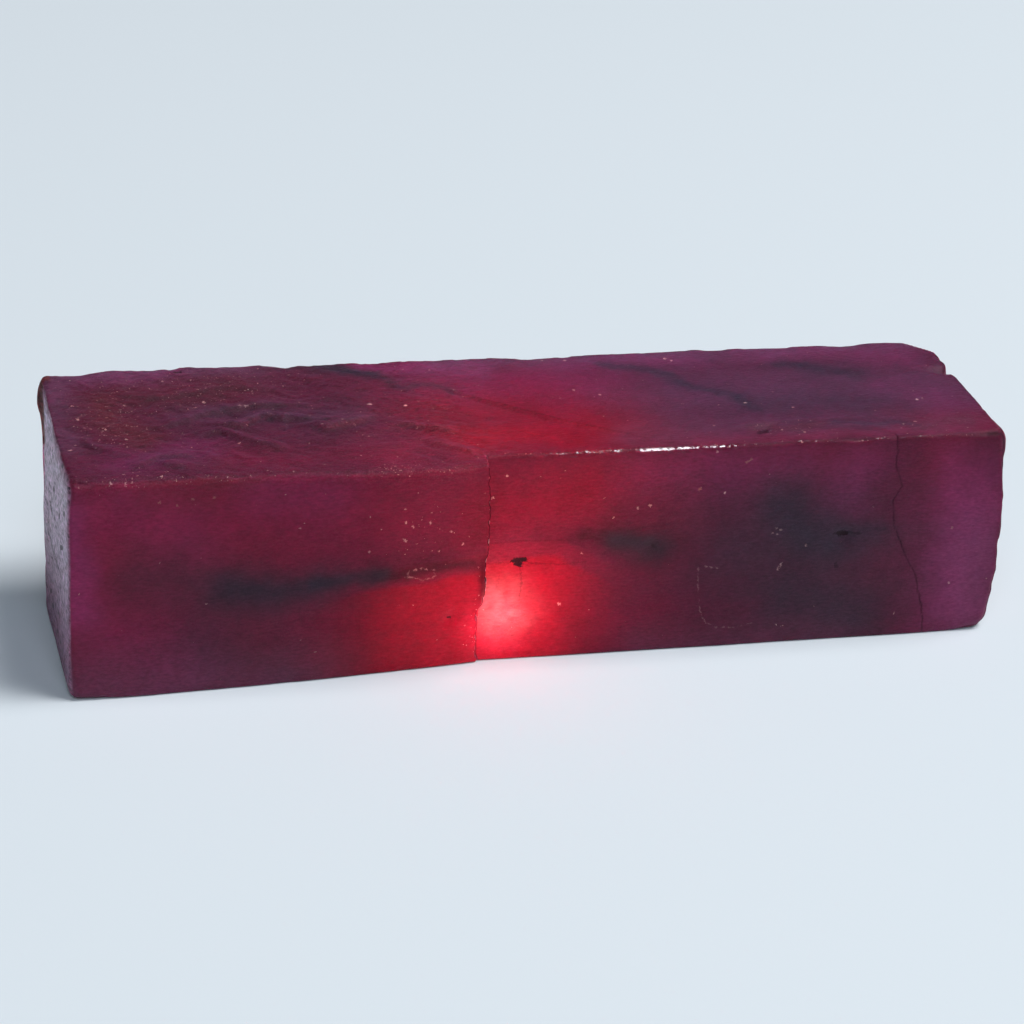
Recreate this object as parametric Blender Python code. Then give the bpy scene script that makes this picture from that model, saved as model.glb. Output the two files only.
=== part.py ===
"""Rough ruby: a bar of cloudy corundum, sawn on its long sides and broken at both ends.

The bar lies on its flat underside, with its length along X and its front towards -Y.
An old crack crosses the front, and the part of the front left of it stands proud.
All sizes are in millimetres until the points are written into the mesh in metres.
"""
import bmesh
import bpy
import numpy as np

MM = 0.001

# Driving dimensions of the sawn bar.
LENGTH = 100.0
DEPTH = 24.7
HEIGHT = 23.9

# The underside is narrower than the top, because the back face leans in towards the floor.
BACK_LEAN_LEFT = 7.5
BACK_LEAN_RIGHT = 3.0

# How far the left part of the front stands proud of the right part, and how far its foot bows out.
PROUD_END_TOP = 1.5
PROUD_END_BOTTOM = 3.2
PROUD_CRACK_TOP = 2.3
PROUD_CRACK_BOTTOM = 0.35
FOOT_BOW = 0.5
CRACK_X = -6.9
CRACK_WIDTH = 0.3
CRACK_GROOVE = 0.8
# The crack wanders as it climbs the front: height, then place along the bar.
CRACK_PATH = (
    (0.0, -6.8), (2.0, -7.0), (4.3, -7.1), (6.4, -7.2), (7.8, -6.5),
    (9.0, -6.4), (11.8, -6.6), (13.7, -6.4), (19.0, -6.6), (23.9, -7.1),
)
CRACK_REACH = 3.0

# Edges are worn round, most of all at four corners: x, y, z, extra radius, reach.
# The front top edge is worn rounder left of the crack than right of it.
EDGE_RADIUS = 0.38
WORN_CORNERS = (
    (50.0, -12.3, 0.0, 1.3, 4.0),
    (-50.0, -12.3, 0.0, 0.7, 4.0),
    (-50.0, 12.3, 23.9, 0.6, 5.0),
    (50.0, -12.3, 23.9, 0.7, 3.5),
)
WORN_EDGE_EXTRA = 0.5
WORN_EDGE_REACH = 3.0

# Rough ridges on the top, each with its height, its width and a line of places along x and y.
# A ridge has a long slope behind it and a short one in front, and it tapers off at both ends.
RIDGES = (
    (0.60, 1.3, ((-36.5, -0.2), (-33.0, -2.2), (-31.0, -2.7), (-28.6, -0.4), (-22.8, -1.8), (-17.5, -0.3))),
    (0.45, 1.1, ((-38.0, -4.3), (-33.1, -3.9), (-29.8, -6.8), (-26.0, -8.8))),
    (0.60, 1.2, ((-25.0, -2.2), (-22.0, -4.0), (-19.3, -3.0), (-15.5, -0.5))),
    (0.45, 1.0, ((-16.0, -2.7), (-11.6, -4.8), (-7.8, -6.2))),
    (0.30, 0.9, ((-14.0, -6.7), (-9.5, -10.0), (-7.4, -12.0))),
    (0.45, 1.1, ((-44.4, -12.2), (-40.6, -9.2), (-36.0, -8.6))),
    (0.35, 0.9, ((-41.2, -9.9), (-36.4, -12.6))),
    (0.35, 1.0, ((-48.0, -3.0), (-46.5, -5.9), (-42.5, -8.5))),
    (0.40, 1.2, ((-42.5, -2.4), (-36.7, -1.0), (-33.8, 1.0), (-28.0, 2.4), (-19.0, 2.4))),
    (0.25, 1.3, ((-45.0, 6.3), (-38.0, 5.0), (-31.0, 7.0), (-23.0, 5.8))),
    (0.20, 1.3, ((15.5, -10.2), (22.2, -7.6), (28.5, -7.0), (35.3, -7.0), (44.2, -7.5))),
    (0.18, 0.9, ((28.0, -8.4), (34.1, -8.9), (40.0, -11.2))),
)
RIDGE_STEEPNESS = 0.4
RIDGE_TAPER = 0.3

# A step in the top, where a flake came away: the stone is lower on its near side.
CREASE = ((-8.0, 5.7), (-5.3, 3.0), (-0.1, -1.4), (2.9, -3.9), (6.6, -6.4), (11.4, -9.8))
CREASE_DROP = 0.32
CREASE_SLOPE = 0.5
CREASE_FADE = 7.0
CREASE_EDGE_FADE = 5.0
CREASE_START = 0.25

# Pits: x, y, z, depth, radius. A depth below zero is a knob, as at the right end's front top corner.
PITS = (
    (33.0, -12.3, 12.6, 0.45, 1.1),
    (-2.8, -12.3, 11.2, 0.35, 1.0),
    (11.8, -12.3, 12.5, 0.30, 1.0),
    (-10.1, -12.3, 5.9, 0.35, 0.9),
    (24.3, -9.0, 23.9, 0.30, 0.9),
    (50.0, -11.3, 22.3, -0.35, 2.2),
    (50.0, 2.0, 13.0, 0.60, 2.2),
    (50.0, -5.0, 7.0, 0.45, 1.9),
    (-30.0, 12.3, 9.0, 0.50, 1.8),
    (18.0, 12.3, 15.0, 0.60, 2.4),
    (-4.0, 12.3, 5.0, 0.45, 1.8),
)

# Chips are flat facets that cut edges and corners: a place on the facet, then its outward direction.
CHIPS = (
    ((46.9, 12.3, 23.9), (0.72, 0.62, 0.30)),
    ((49.7, 12.3, 17.0), (0.90, 0.42, 0.05)),
    ((-49.3, 12.3, 23.9), (-0.62, 0.55, 0.55)),
    ((-49.4, 5.0, 0.0), (-0.75, 0.50, -0.45)),
    ((48.9, 9.4, 0.0), (0.70, 0.45, -0.55)),
)

# Notches bitten out of the edges: x, y, z, depth, half length along x, y and z.
NOTCHES = (
    (50.2, 4.4, 23.9, 0.95, 3.0, 0.9, 2.6),
    (-23.5, 12.7, 23.9, 0.30, 1.2, 1.4, 1.6),
    (-46.0, 12.7, 23.9, 0.30, 1.6, 1.4, 1.6),
    (4.0, 12.7, 23.9, 0.25, 3.5, 1.6, 1.8),
    (40.5, 12.7, 23.9, 0.25, 1.4, 1.4, 1.6),
    (-28.0, 11.0, 0.0, 0.60, 5.0, 2.5, 2.5),
)
# A rim of crust stands out of the left end, high on its back: y and z of its middle and its half size.
RIM_RISE = 0.35
RIM_PLACE = (11.6, 21.2)
RIM_SIZE = (1.2, 3.0)

# The top swells along its back edge, left of the middle: x, y, height, half length along x and y.
# It also rises a little from its middle to its back edge.
TOP_SWELL = (-37.0, 12.5, 0.40, 17.0, 7.0)
BACK_RISE = 0.16

# The right end bulges at half its height, and its foot reaches out. Both ends are shaped to this depth.
RIGHT_END_BULGE = 0.7
RIGHT_END_FOOT = 0.7
END_DEPTH = 10.0

# Heights of the slow waves that the saw and the break left. The top is calmer right of its torn part.
SAW_WAVE = 0.06
BACK_WAVE = 0.16
TOP_WAVE = 0.09
LEFT_END_WAVE = 0.013
RIGHT_END_WAVE = 0.08
CALM_TOP_SHARE = 0.4
TORN_TOP_LENGTH = 20.0
# Each wave's length and heading, how much the waves stretch along the front and the back, and how they
# bend, so that no two crests are alike.
WAVES = ((19.0, 12.0), (11.3, 71.0), (7.7, 108.0), (5.9, 84.0), (8.9, 35.0), (4.7, 127.0))
FRONT_STRETCH = 0.5
BACK_STRETCH = 0.7
WAVE_SHIFT = 2.4
BEND_SIZE = 0.8
BEND_LENGTH = 3.1
BEND_LEAN = 0.2

# Spacing of the lines that the surface is cut along, and their places near an edge.
EDGE_LINES = (0.25, 0.65, 1.5)
FINE_STEP = 1.25
COARSE_STEP = 1.9
DEPTH_STEP = 1.75
HEIGHT_STEP = 2.5
FINE_START = -43.0
FINE_END = -9.0

# How far from a plane a point may be and still count as lying in it.
CUT_WITHIN = 1e-5
FLAT_WITHIN = 1e-6


def smooth(value):
    """Rises from 0 to 1 without a corner while value goes from 0 to 1."""
    value = np.clip(value, 0.0, 1.0)
    return value * value * (3.0 - 2.0 * value)


def evenly(start, end, step):
    """Lines between two places, about one step apart, without the two places."""
    count = max(1, round((end - start) / step))
    return [start + (end - start) * index / count for index in range(1, count)]


def lines_along(low, high, stops):
    """All the lines along one axis: close together at both edges, then by the stops' steps."""
    lines = [low + inset for inset in EDGE_LINES]
    lines += [high - inset for inset in EDGE_LINES]
    for start, end, step in stops:
        lines += evenly(start, end, step)
        lines += [start, end]
    return sorted(set(round(line, 4) for line in lines))


def sawn_block():
    """A plain block, cut along every line so that its faces are fine enough to shape."""
    bm = bmesh.new()
    bmesh.ops.create_cube(bm, size=1.0)
    for vertex in bm.verts:
        vertex.co.x *= LENGTH
        vertex.co.y *= DEPTH
        vertex.co.z = (vertex.co.z + 0.5) * HEIGHT
    edge = EDGE_LINES[-1]
    half_length = LENGTH / 2
    half_depth = DEPTH / 2
    crack_left = CRACK_X - CRACK_WIDTH / 2
    crack_right = CRACK_X + CRACK_WIDTH / 2
    x_stops = (
        (-half_length + edge, FINE_START, COARSE_STEP),
        (FINE_START, FINE_END, FINE_STEP),
        (FINE_END, crack_left, FINE_STEP),
        (crack_left, crack_right, CRACK_WIDTH / 2),
        (crack_right, half_length - edge, COARSE_STEP),
    )
    y_stops = ((-half_depth + edge, half_depth - edge, DEPTH_STEP),)
    z_stops = ((edge, HEIGHT - edge, HEIGHT_STEP),)
    cuts = {
        (1, 0, 0): lines_along(-half_length, half_length, x_stops),
        (0, 1, 0): lines_along(-half_depth, half_depth, y_stops),
        (0, 0, 1): lines_along(0.0, HEIGHT, z_stops),
    }
    for normal, lines in cuts.items():
        for line in lines:
            geometry = bm.verts[:] + bm.edges[:] + bm.faces[:]
            place = [line * part for part in normal]
            bmesh.ops.bisect_plane(bm, geom=geometry, dist=CUT_WITHIN, plane_co=place, plane_no=normal)
    return bm


def bump(distance):
    """1 at distance 0, falling to 0 on both sides within about one unit."""
    return np.exp(-distance ** 2)


def nearness(points, place, reach):
    """1 at a place and falling to 0 around it, within about one reach."""
    return bump(np.linalg.norm((points - np.array(place)) / reach, axis=1))


def round_edges(points):
    """Rolls every edge of the block to its worn radius."""
    radius = np.full(len(points), EDGE_RADIUS)
    for x, y, z, extra, reach in WORN_CORNERS:
        radius += extra * nearness(points, (x, y, z), reach)
    from_edge = np.hypot(points[:, 1] + DEPTH / 2, points[:, 2] - HEIGHT) / WORN_EDGE_REACH
    radius += WORN_EDGE_EXTRA * bump(from_edge) * smooth((CRACK_X - points[:, 0]) / WORN_EDGE_REACH)
    radius = radius[:, None]
    low = np.array((-LENGTH / 2, -DEPTH / 2, 0.0)) + radius
    high = np.array((LENGTH / 2, DEPTH / 2, HEIGHT)) - radius
    inner = np.clip(points, low, high)
    outward = points - inner
    return inner + outward / np.linalg.norm(outward, axis=1, keepdims=True) * radius


def along_line(x, y, line):
    """Distance of each point from a bent line, on which side of the line it lies, and how far along
    the line its nearest place is, from 0 to 1."""
    nearest = np.full(len(x), np.inf)
    side = np.zeros(len(x))
    run_share = np.zeros(len(x))
    for number, ((ax, ay), (bx, by)) in enumerate(zip(line, line[1:])):
        run_x = bx - ax
        run_y = by - ay
        share = ((x - ax) * run_x + (y - ay) * run_y) / (run_x ** 2 + run_y ** 2)
        share = np.clip(share, 0.0, 1.0)
        off_x = x - ax - share * run_x
        off_y = y - ay - share * run_y
        distance = np.hypot(off_x, off_y)
        closer = distance < nearest
        nearest[closer] = distance[closer]
        side[closer] = np.sign(run_x * off_y - run_y * off_x)[closer]
        run_share[closer] = (number + share[closer]) / (len(line) - 1)
    return nearest, side, run_share


def waves(across, up):
    """Slow uneven swells over a face, about as deep as 1 each way."""
    swell = np.zeros(len(across))
    for number, (length, heading) in enumerate(WAVES):
        turn = np.radians(heading)
        run = across * np.cos(turn) + up * np.sin(turn)
        bend = BEND_SIZE * np.sin(run / BEND_LENGTH + number + BEND_LEAN * up)
        swell += np.sin(run * 2 * np.pi / length + WAVE_SHIFT * number + bend)
    return swell / np.sqrt(len(WAVES))


def top_relief(x, y):
    """Height of the top above its flat plane: ridges, the crease and slow waves."""
    height = np.zeros(len(x))
    for rise, width, line in RIDGES:
        distance, side, run_share = along_line(x, y, line)
        reach = np.where(side < 0.0, width * RIDGE_STEEPNESS, width)
        taper = smooth(run_share / RIDGE_TAPER) * smooth((1.0 - run_share) / RIDGE_TAPER)
        height = np.maximum(height, rise * taper * bump(distance / reach))
    distance, side, run_share = along_line(x, y, CREASE)
    drop = smooth(distance / CREASE_SLOPE) * bump(distance / CREASE_FADE)
    drop *= smooth((y + DEPTH / 2) / CREASE_EDGE_FADE) * smooth(run_share / CREASE_START)
    height -= CREASE_DROP * drop * (side < 0.0)
    swell_x, swell_y, swell_rise, swell_length, swell_depth = TOP_SWELL
    height += swell_rise * bump((x - swell_x) / swell_length) * bump((y - swell_y) / swell_depth)
    height += BACK_RISE * smooth(2.0 * y / DEPTH)
    torn_share = smooth(-x / TORN_TOP_LENGTH)
    wave_share = CALM_TOP_SHARE + (1.0 - CALM_TOP_SHARE) * torn_share
    return height + TOP_WAVE * wave_share * waves(x, y)


def front_and_back(points, block_points):
    """Puts the front and the back where they stand: the proud left part and the leaning back."""
    x, y, z = points.T
    up = np.clip(z / HEIGHT, 0.0, 1.0)
    along = np.clip((x + LENGTH / 2) / (CRACK_X + LENGTH / 2), 0.0, 1.0)
    proud_top = PROUD_END_TOP + (PROUD_CRACK_TOP - PROUD_END_TOP) * along
    proud_bottom = PROUD_END_BOTTOM + (PROUD_CRACK_BOTTOM - PROUD_END_BOTTOM) * along
    proud = proud_bottom + (proud_top - proud_bottom) * up
    proud += FOOT_BOW * np.sin(np.pi * along) * (1.0 - up)
    crack_share = (block_points[:, 0] - CRACK_X) / CRACK_WIDTH + 0.5
    proud = proud * (1.0 - smooth(crack_share))
    groove = CRACK_GROOVE * np.clip(1.0 - 2.0 * np.abs(crack_share - 0.5), 0.0, 1.0)
    front_shift = groove - proud + SAW_WAVE * waves(FRONT_STRETCH * x, z)
    lean_share = smooth(x / LENGTH + 0.5)
    lean = BACK_LEAN_LEFT + (BACK_LEAN_RIGHT - BACK_LEAN_LEFT) * lean_share
    back_shift = BACK_WAVE * waves(BACK_STRETCH * x, z) - lean * (1.0 - up)
    share = y / DEPTH + 0.5
    return np.column_stack((x, y + front_shift * (1.0 - share) ** 3 + back_shift * share, z))


def follow_crack(points):
    """Shifts the lines beside the crack sideways so that they follow its path up the front."""
    x, y, z = points.T
    heights, places = zip(*CRACK_PATH)
    shift = np.interp(z, heights, places) - CRACK_X
    close = bump((x - CRACK_X) / CRACK_REACH)
    depth_share = smooth(0.5 - y / DEPTH)
    return np.column_stack((x + shift * close * depth_share, y, z))


def shape_ends(points):
    """Bends the two broken ends: a rim at the left, a bulge and a reaching foot at the right."""
    x, y, z = points.T
    up = np.clip(z / HEIGHT, 0.0, 1.0)
    left_share = smooth((-x - LENGTH / 2) / END_DEPTH + 1.0)
    right_share = smooth((x - LENGTH / 2) / END_DEPTH + 1.0)
    across = (y - RIM_PLACE[0]) / RIM_SIZE[0]
    above = (z - RIM_PLACE[1]) / RIM_SIZE[1]
    rim = RIM_RISE * bump(across ** 2) * bump(above ** 2)
    bulge = RIGHT_END_BULGE * np.sin(np.pi * up) + RIGHT_END_FOOT * (1.0 - up)
    rough = waves(y, z)
    x = x + left_share * (LEFT_END_WAVE * rough - rim) + right_share * (bulge + RIGHT_END_WAVE * rough)
    return np.column_stack((x, y, z))


def break_chips(points):
    """Lays every point beyond a chip's facet back onto the facet."""
    for place, direction in CHIPS:
        normal = np.array(direction) / np.linalg.norm(direction)
        beyond = np.maximum((points - np.array(place)) @ normal, 0.0)
        points = points - beyond[:, None] * normal
    return points


def press_in(points, normals):
    """Pushes the surface in at every pit and notch."""
    for x, y, z, depth, radius in PITS:
        points = points - depth * nearness(points, (x, y, z), radius)[:, None] * normals
    for x, y, z, depth, *half_sizes in NOTCHES:
        points = points - depth * nearness(points, (x, y, z), np.array(half_sizes))[:, None] * normals
    return points


def outward_directions(points):
    """Direction out of the plain block at each point, slanting at its edges."""
    middle = np.array((0.0, 0.0, HEIGHT / 2))
    half = np.array((LENGTH / 2, DEPTH / 2, HEIGHT / 2)) - EDGE_LINES[-1]
    outward = points - middle
    outward -= np.clip(outward, -half, half)
    return outward / np.linalg.norm(outward, axis=1, keepdims=True)


def shaped(block_points):
    """Takes the points of the plain block to the real stone, with its underside left flat."""
    normals = outward_directions(block_points)
    points = round_edges(block_points)
    flat = points[:, 2] < FLAT_WITHIN
    points = press_in(points, normals)
    points[flat, 2] = 0.0
    points = front_and_back(points, block_points)
    up = np.clip(points[:, 2] / HEIGHT, 0.0, 1.0)
    points[:, 2] += top_relief(points[:, 0], points[:, 1]) * up ** 2
    points = follow_crack(points)
    points = shape_ends(points)
    points = break_chips(points)
    middle = (points.min(axis=0) + points.max(axis=0)) / 2
    points[:, :2] -= middle[:2]
    return points


def merge_underside(bm):
    """Makes the flat underside one face."""
    underside = [f for f in bm.faces if all(vertex.co.z < FLAT_WITHIN * MM for vertex in f.verts)]
    bmesh.ops.dissolve_faces(bm, faces=underside, use_verts=False)


def ruby_material():
    """Cloudy purplish red stone with a waxy shine."""
    material = bpy.data.materials.new("cloudy_ruby")
    material.use_nodes = True
    shader = material.node_tree.nodes["Principled BSDF"]
    shader.inputs["Base Color"].default_value = (0.19, 0.012, 0.045, 1.0)
    shader.inputs["Roughness"].default_value = 0.38
    shader.inputs["IOR"].default_value = 1.76
    shader.inputs["Metallic"].default_value = 0.0
    return material


def build_stone():
    """Cuts the block, shapes it and puts it into the scene as one object."""
    bm = sawn_block()
    block_points = np.array([vertex.co[:] for vertex in bm.verts])
    for vertex, point in zip(bm.verts, shaped(block_points)):
        vertex.co = point * MM
    merge_underside(bm)
    bmesh.ops.recalc_face_normals(bm, faces=bm.faces)
    mesh = bpy.data.meshes.new("rough_ruby")
    bm.to_mesh(mesh)
    bm.free()
    mesh.materials.append(ruby_material())
    stone = bpy.data.objects.new("rough_ruby", mesh)
    bpy.context.scene.collection.objects.link(stone)


for old in list(bpy.data.objects):
    bpy.data.objects.remove(old, do_unlink=True)
build_stone()
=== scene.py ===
"""Rough ruby: a bar of cloudy red corundum, sawn on its long sides and broken at both ends.

It lies on its flat underside, with its length along X and its cracked front towards -Y. Sizes are in
millimetres, in the bar's own frame, and the points go into the mesh in metres.
"""

import bpy
import numpy as np
from mathutils import Matrix, Vector


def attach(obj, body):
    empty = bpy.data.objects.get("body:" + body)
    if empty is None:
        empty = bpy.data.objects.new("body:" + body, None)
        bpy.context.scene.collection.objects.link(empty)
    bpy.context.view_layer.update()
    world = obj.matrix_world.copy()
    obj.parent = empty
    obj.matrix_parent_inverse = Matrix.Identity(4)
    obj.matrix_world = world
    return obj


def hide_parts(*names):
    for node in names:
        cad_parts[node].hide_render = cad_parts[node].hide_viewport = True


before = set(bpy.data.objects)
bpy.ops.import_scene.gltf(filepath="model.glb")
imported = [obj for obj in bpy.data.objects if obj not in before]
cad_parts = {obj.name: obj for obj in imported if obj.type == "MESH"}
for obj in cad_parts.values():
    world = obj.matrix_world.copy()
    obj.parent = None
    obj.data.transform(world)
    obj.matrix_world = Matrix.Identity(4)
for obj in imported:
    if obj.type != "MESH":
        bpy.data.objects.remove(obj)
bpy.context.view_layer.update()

# The bar as it came from the saw. A stick of corundum was cut along its length, so its long faces are
# flat, and it is a little narrower below, because the back leans. Handling wore its edges round.
MM = 0.001
LENGTH = 100.0
DEPTH = 24.7
HEIGHT = 23.9
BACK_LEAN_LEFT = 7.5
BACK_LEAN_RIGHT = 3.0
EDGE_RADIUS = 0.38
WORN_CORNERS = (
    (50, -12.3, 0, 1.3, 4), (-50, -12.3, 0, 0.7, 4), (-50, 12.3, 23.9, 0.6, 5),
    (50, -12.3, 23.9, 0.7, 3.5),
)
WORN_EDGE_EXTRA = 0.5
WORN_EDGE_REACH = 3.0
CORNER_INSET = 1.5
ON_FLOOR = 1e-6
ROWS_ALONG = 385
ROWS_ON_END = 28
COLUMNS_ROUND = 222


def smooth(value):
    """Rises from 0 to 1 without a corner while value goes from 0 to 1."""
    value = np.clip(value, 0.0, 1.0)
    return value * value * (3.0 - 2.0 * value)


def bump(distance):
    """1 at distance 0, falling to 0 on both sides within about one unit."""
    return np.exp(-distance ** 2)


def between(start, end, share):
    """From start at share 0 evenly to end at share 1."""
    return start + (end - start) * share


def nearness(points, place, reach):
    """1 at a place and falling to 0 around it, within about one reach."""
    return bump(np.linalg.norm((points - np.array(place)) / reach, axis=-1))


def spaced(low, high, count, crowding):
    """Places from low to high whose steps shrink as crowding(place), in places a millimetre, grows."""
    fine = np.linspace(low, high, 40 * count)
    weight = crowding(fine)
    gained = np.cumsum((weight[1:] + weight[:-1]) / 2 * np.diff(fine))
    gained = np.concatenate(((0,), gained))
    return np.interp(np.linspace(0.0, gained[-1], count), gained, fine)


def crowding_along(x):
    """Rows stand close at the ends, at the crack and at the hairline, and closer left than right."""
    calm = 2.5 + 1.7 * smooth((4.0 - x) / 8.0)
    ends = 10.0 * bump((np.abs(x) - LENGTH / 2) / 0.6)
    return calm + ends + 24.0 * bump((x - CRACK_X) / 0.4) + 9.0 * bump((x - HAIRLINE_X) / 0.35)


def crowding_round(run):
    """Columns stand close at the four edges, and closer on the front and top than on the back."""
    corners = np.array((0.0, HEIGHT, HEIGHT + DEPTH, 2 * HEIGHT + DEPTH, 2 * (HEIGHT + DEPTH)))
    calm = np.select([run < corners[1], run < corners[2], run < corners[3]], [3.2, 3.5, 1.4], 0.4)
    return calm + 8.0 * bump((run[:, None] - corners) / 0.5).sum(axis=1)


def block_grid():
    """Points of the plain block on a grid of rows and columns.

    A column goes once round the bar: up the front, back over the top, down the back and forward below.
    A row stands at one place along the bar. At each end further rows lie on the end face, each one a
    smaller copy of the outline about the face's middle.
    """
    perimeter = 2 * (HEIGHT + DEPTH)
    run = spaced(0.0, perimeter, COLUMNS_ROUND + 1, crowding_round)[:-1]
    turns = (0.0, HEIGHT, HEIGHT + DEPTH, 2 * HEIGHT + DEPTH, perimeter)
    round_y = np.interp(run, turns, np.array((-1, -1, 1, 1, -1)) * DEPTH / 2)
    round_z = np.interp(run, turns, np.array((0, 1, 1, 0, 0)) * HEIGHT)
    along = spaced(-LENGTH / 2, LENGTH / 2, ROWS_ALONG, crowding_along)
    shrink = 1.0 - spaced(0.0, 1.0, ROWS_ON_END + 2, lambda inset: 1.0 + 6.0 * bump(inset / 0.05))[1:-1]
    row_x = np.concatenate((np.full(ROWS_ON_END, -LENGTH / 2), along, np.full(ROWS_ON_END, LENGTH / 2)))
    row_scale = np.concatenate((shrink[::-1], np.ones(ROWS_ALONG), shrink))
    x = np.repeat(row_x[:, None], COLUMNS_ROUND, axis=1)
    y = row_scale[:, None] * round_y
    z = HEIGHT / 2 + row_scale[:, None] * (round_z - HEIGHT / 2)
    middles = np.array(((-LENGTH / 2, 0.0, HEIGHT / 2), (LENGTH / 2, 0.0, HEIGHT / 2)))
    return np.concatenate((np.stack((x, y, z), axis=-1).reshape(-1, 3), middles))


def outward_directions(points):
    """Direction out of the plain block at each point, slanting at its edges."""
    middle = np.array((0.0, 0.0, HEIGHT / 2))
    half = np.array((LENGTH / 2, DEPTH / 2, HEIGHT / 2)) - CORNER_INSET
    outward = points - middle
    outward -= np.clip(outward, -half, half)
    return outward / np.linalg.norm(outward, axis=1, keepdims=True)


def edge_distance(points):
    """How far a point of the block's surface is from the nearest edge: the second smallest of its
    distances to the block's planes."""
    x, y, z = points.T
    to_planes = np.column_stack((LENGTH / 2 - np.abs(x), DEPTH / 2 - np.abs(y), z, HEIGHT - z))
    return np.sort(to_planes, axis=1)[:, 1]


def round_edges(points):
    """Rolls every edge of the block to its worn radius, which is larger at four corners and along the
    front top edge left of the crack."""
    radius = np.full(len(points), EDGE_RADIUS)
    for x, y, z, extra, reach in WORN_CORNERS:
        radius += extra * nearness(points, (x, y, z), reach)
    from_edge = np.hypot(points[:, 1] + DEPTH / 2, points[:, 2] - HEIGHT) / WORN_EDGE_REACH
    radius += WORN_EDGE_EXTRA * bump(from_edge) * smooth((CRACK_X - points[:, 0]) / WORN_EDGE_REACH)
    radius = radius[:, None]
    low = np.array((-LENGTH / 2, -DEPTH / 2, 0.0)) + radius
    high = np.array((LENGTH / 2, DEPTH / 2, HEIGHT)) - radius
    inner = np.clip(points, low, high)
    outward = points - inner
    return inner + outward / np.linalg.norm(outward, axis=1, keepdims=True) * radius


# The crack. It parts the front into two sheets, and the left one stands proud of the right one by up
# to 2.3 mm. It wanders as it climbs, and a second crack near the right end is only a hairline.
CRACK_X = -6.9
CRACK_WIDTH = 0.3
CRACK_GROOVE = 1.3
CRACK_REACH = 3.0
CRACK_PATH = (
    (0, -6.8), (2, -7), (4.3, -7.1), (6.4, -7.2), (7.8, -6.5), (9, -6.4), (11.8, -6.6), (13.7, -6.4),
    (19, -6.6), (23.9, -7.1),
)
PROUD_END_TOP = 1.5
PROUD_END_BOTTOM = 3.2
PROUD_CRACK_TOP = 2.3
PROUD_CRACK_BOTTOM = 0.35
FOOT_BOW = 0.5
HAIRLINE_X = 38.6
HAIRLINE_DEPTH = 0.03
HAIRLINE_PATH = (
    (0, 43.4), (3.4, 42.9), (7.5, 41.6), (9.6, 40.4), (13.5, 38.5), (16.5, 38.2), (18.1, 39),
    (20.5, 38), (23.9, 37.8),
)
SAW_WAVE = 0.06
BREAK_WAVE = 0.16
TOP_WAVE = 0.09
WAVES = ((19, 12), (11.3, 71), (7.7, 108), (5.9, 84), (8.9, 35), (4.7, 127))


def waves(across, up):
    """Slow uneven swells over a face: a sum of bent sine waves, about as deep as 1 each way."""
    swell = np.zeros(len(across))
    for number, (length, heading) in enumerate(WAVES):
        turn = np.radians(heading)
        run = across * np.cos(turn) + up * np.sin(turn)
        bend = 0.8 * np.sin(run / 3.1 + number + 0.2 * up)
        swell += np.sin(run * 2 * np.pi / length + 2.4 * number + bend)
    return swell / np.sqrt(len(WAVES))


def share_to_crack(x):
    """Rises evenly from 0 at the left end to 1 at the crack, and stays 1 right of it."""
    return np.clip((x + LENGTH / 2) / (CRACK_X + LENGTH / 2), 0.0, 1.0)


def front_and_back(points, block_points):
    """Puts the front and the back where they stand: the proud left part and the leaning back."""
    x, y, z = points.T
    up = np.clip(z / HEIGHT, 0.0, 1.0)
    along = share_to_crack(x)
    proud_top = between(PROUD_END_TOP, PROUD_CRACK_TOP, along)
    proud_bottom = between(PROUD_END_BOTTOM, PROUD_CRACK_BOTTOM, along)
    proud = between(proud_bottom, proud_top, up) + FOOT_BOW * np.sin(np.pi * along) * (1.0 - up)
    crack_share = (block_points[:, 0] - CRACK_X) / CRACK_WIDTH + 0.5
    proud = proud * (1.0 - smooth(crack_share))
    groove = CRACK_GROOVE * np.clip(1.0 - 2.0 * np.abs(crack_share - 0.5), 0.0, 1.0)
    groove *= 0.25 + 0.75 * smooth((z - 4.0) / 5.0)
    front_shift = groove - proud + SAW_WAVE * waves(0.5 * x, z)
    lean = between(BACK_LEAN_LEFT, BACK_LEAN_RIGHT, smooth(x / LENGTH + 0.5))
    back_shift = BREAK_WAVE * waves(0.7 * x, z) - lean * (1.0 - up)
    share = y / DEPTH + 0.5
    return np.column_stack((x, y + front_shift * (1.0 - share) ** 3 + back_shift * share, z))


def follow_path(points, line_x, path, reach):
    """Shifts the rows beside a crack sideways so that they follow its path up the front."""
    x, y, z = points.T
    shift = np.interp(z, *zip(*path)) + 0.12 * np.sin(4.1 * z) * np.sin(1.3 * z + 1.0) - line_x
    depth_share = smooth(0.5 - y / DEPTH)
    return np.column_stack((x + shift * bump((x - line_x) / reach) * depth_share, y, z))


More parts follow.
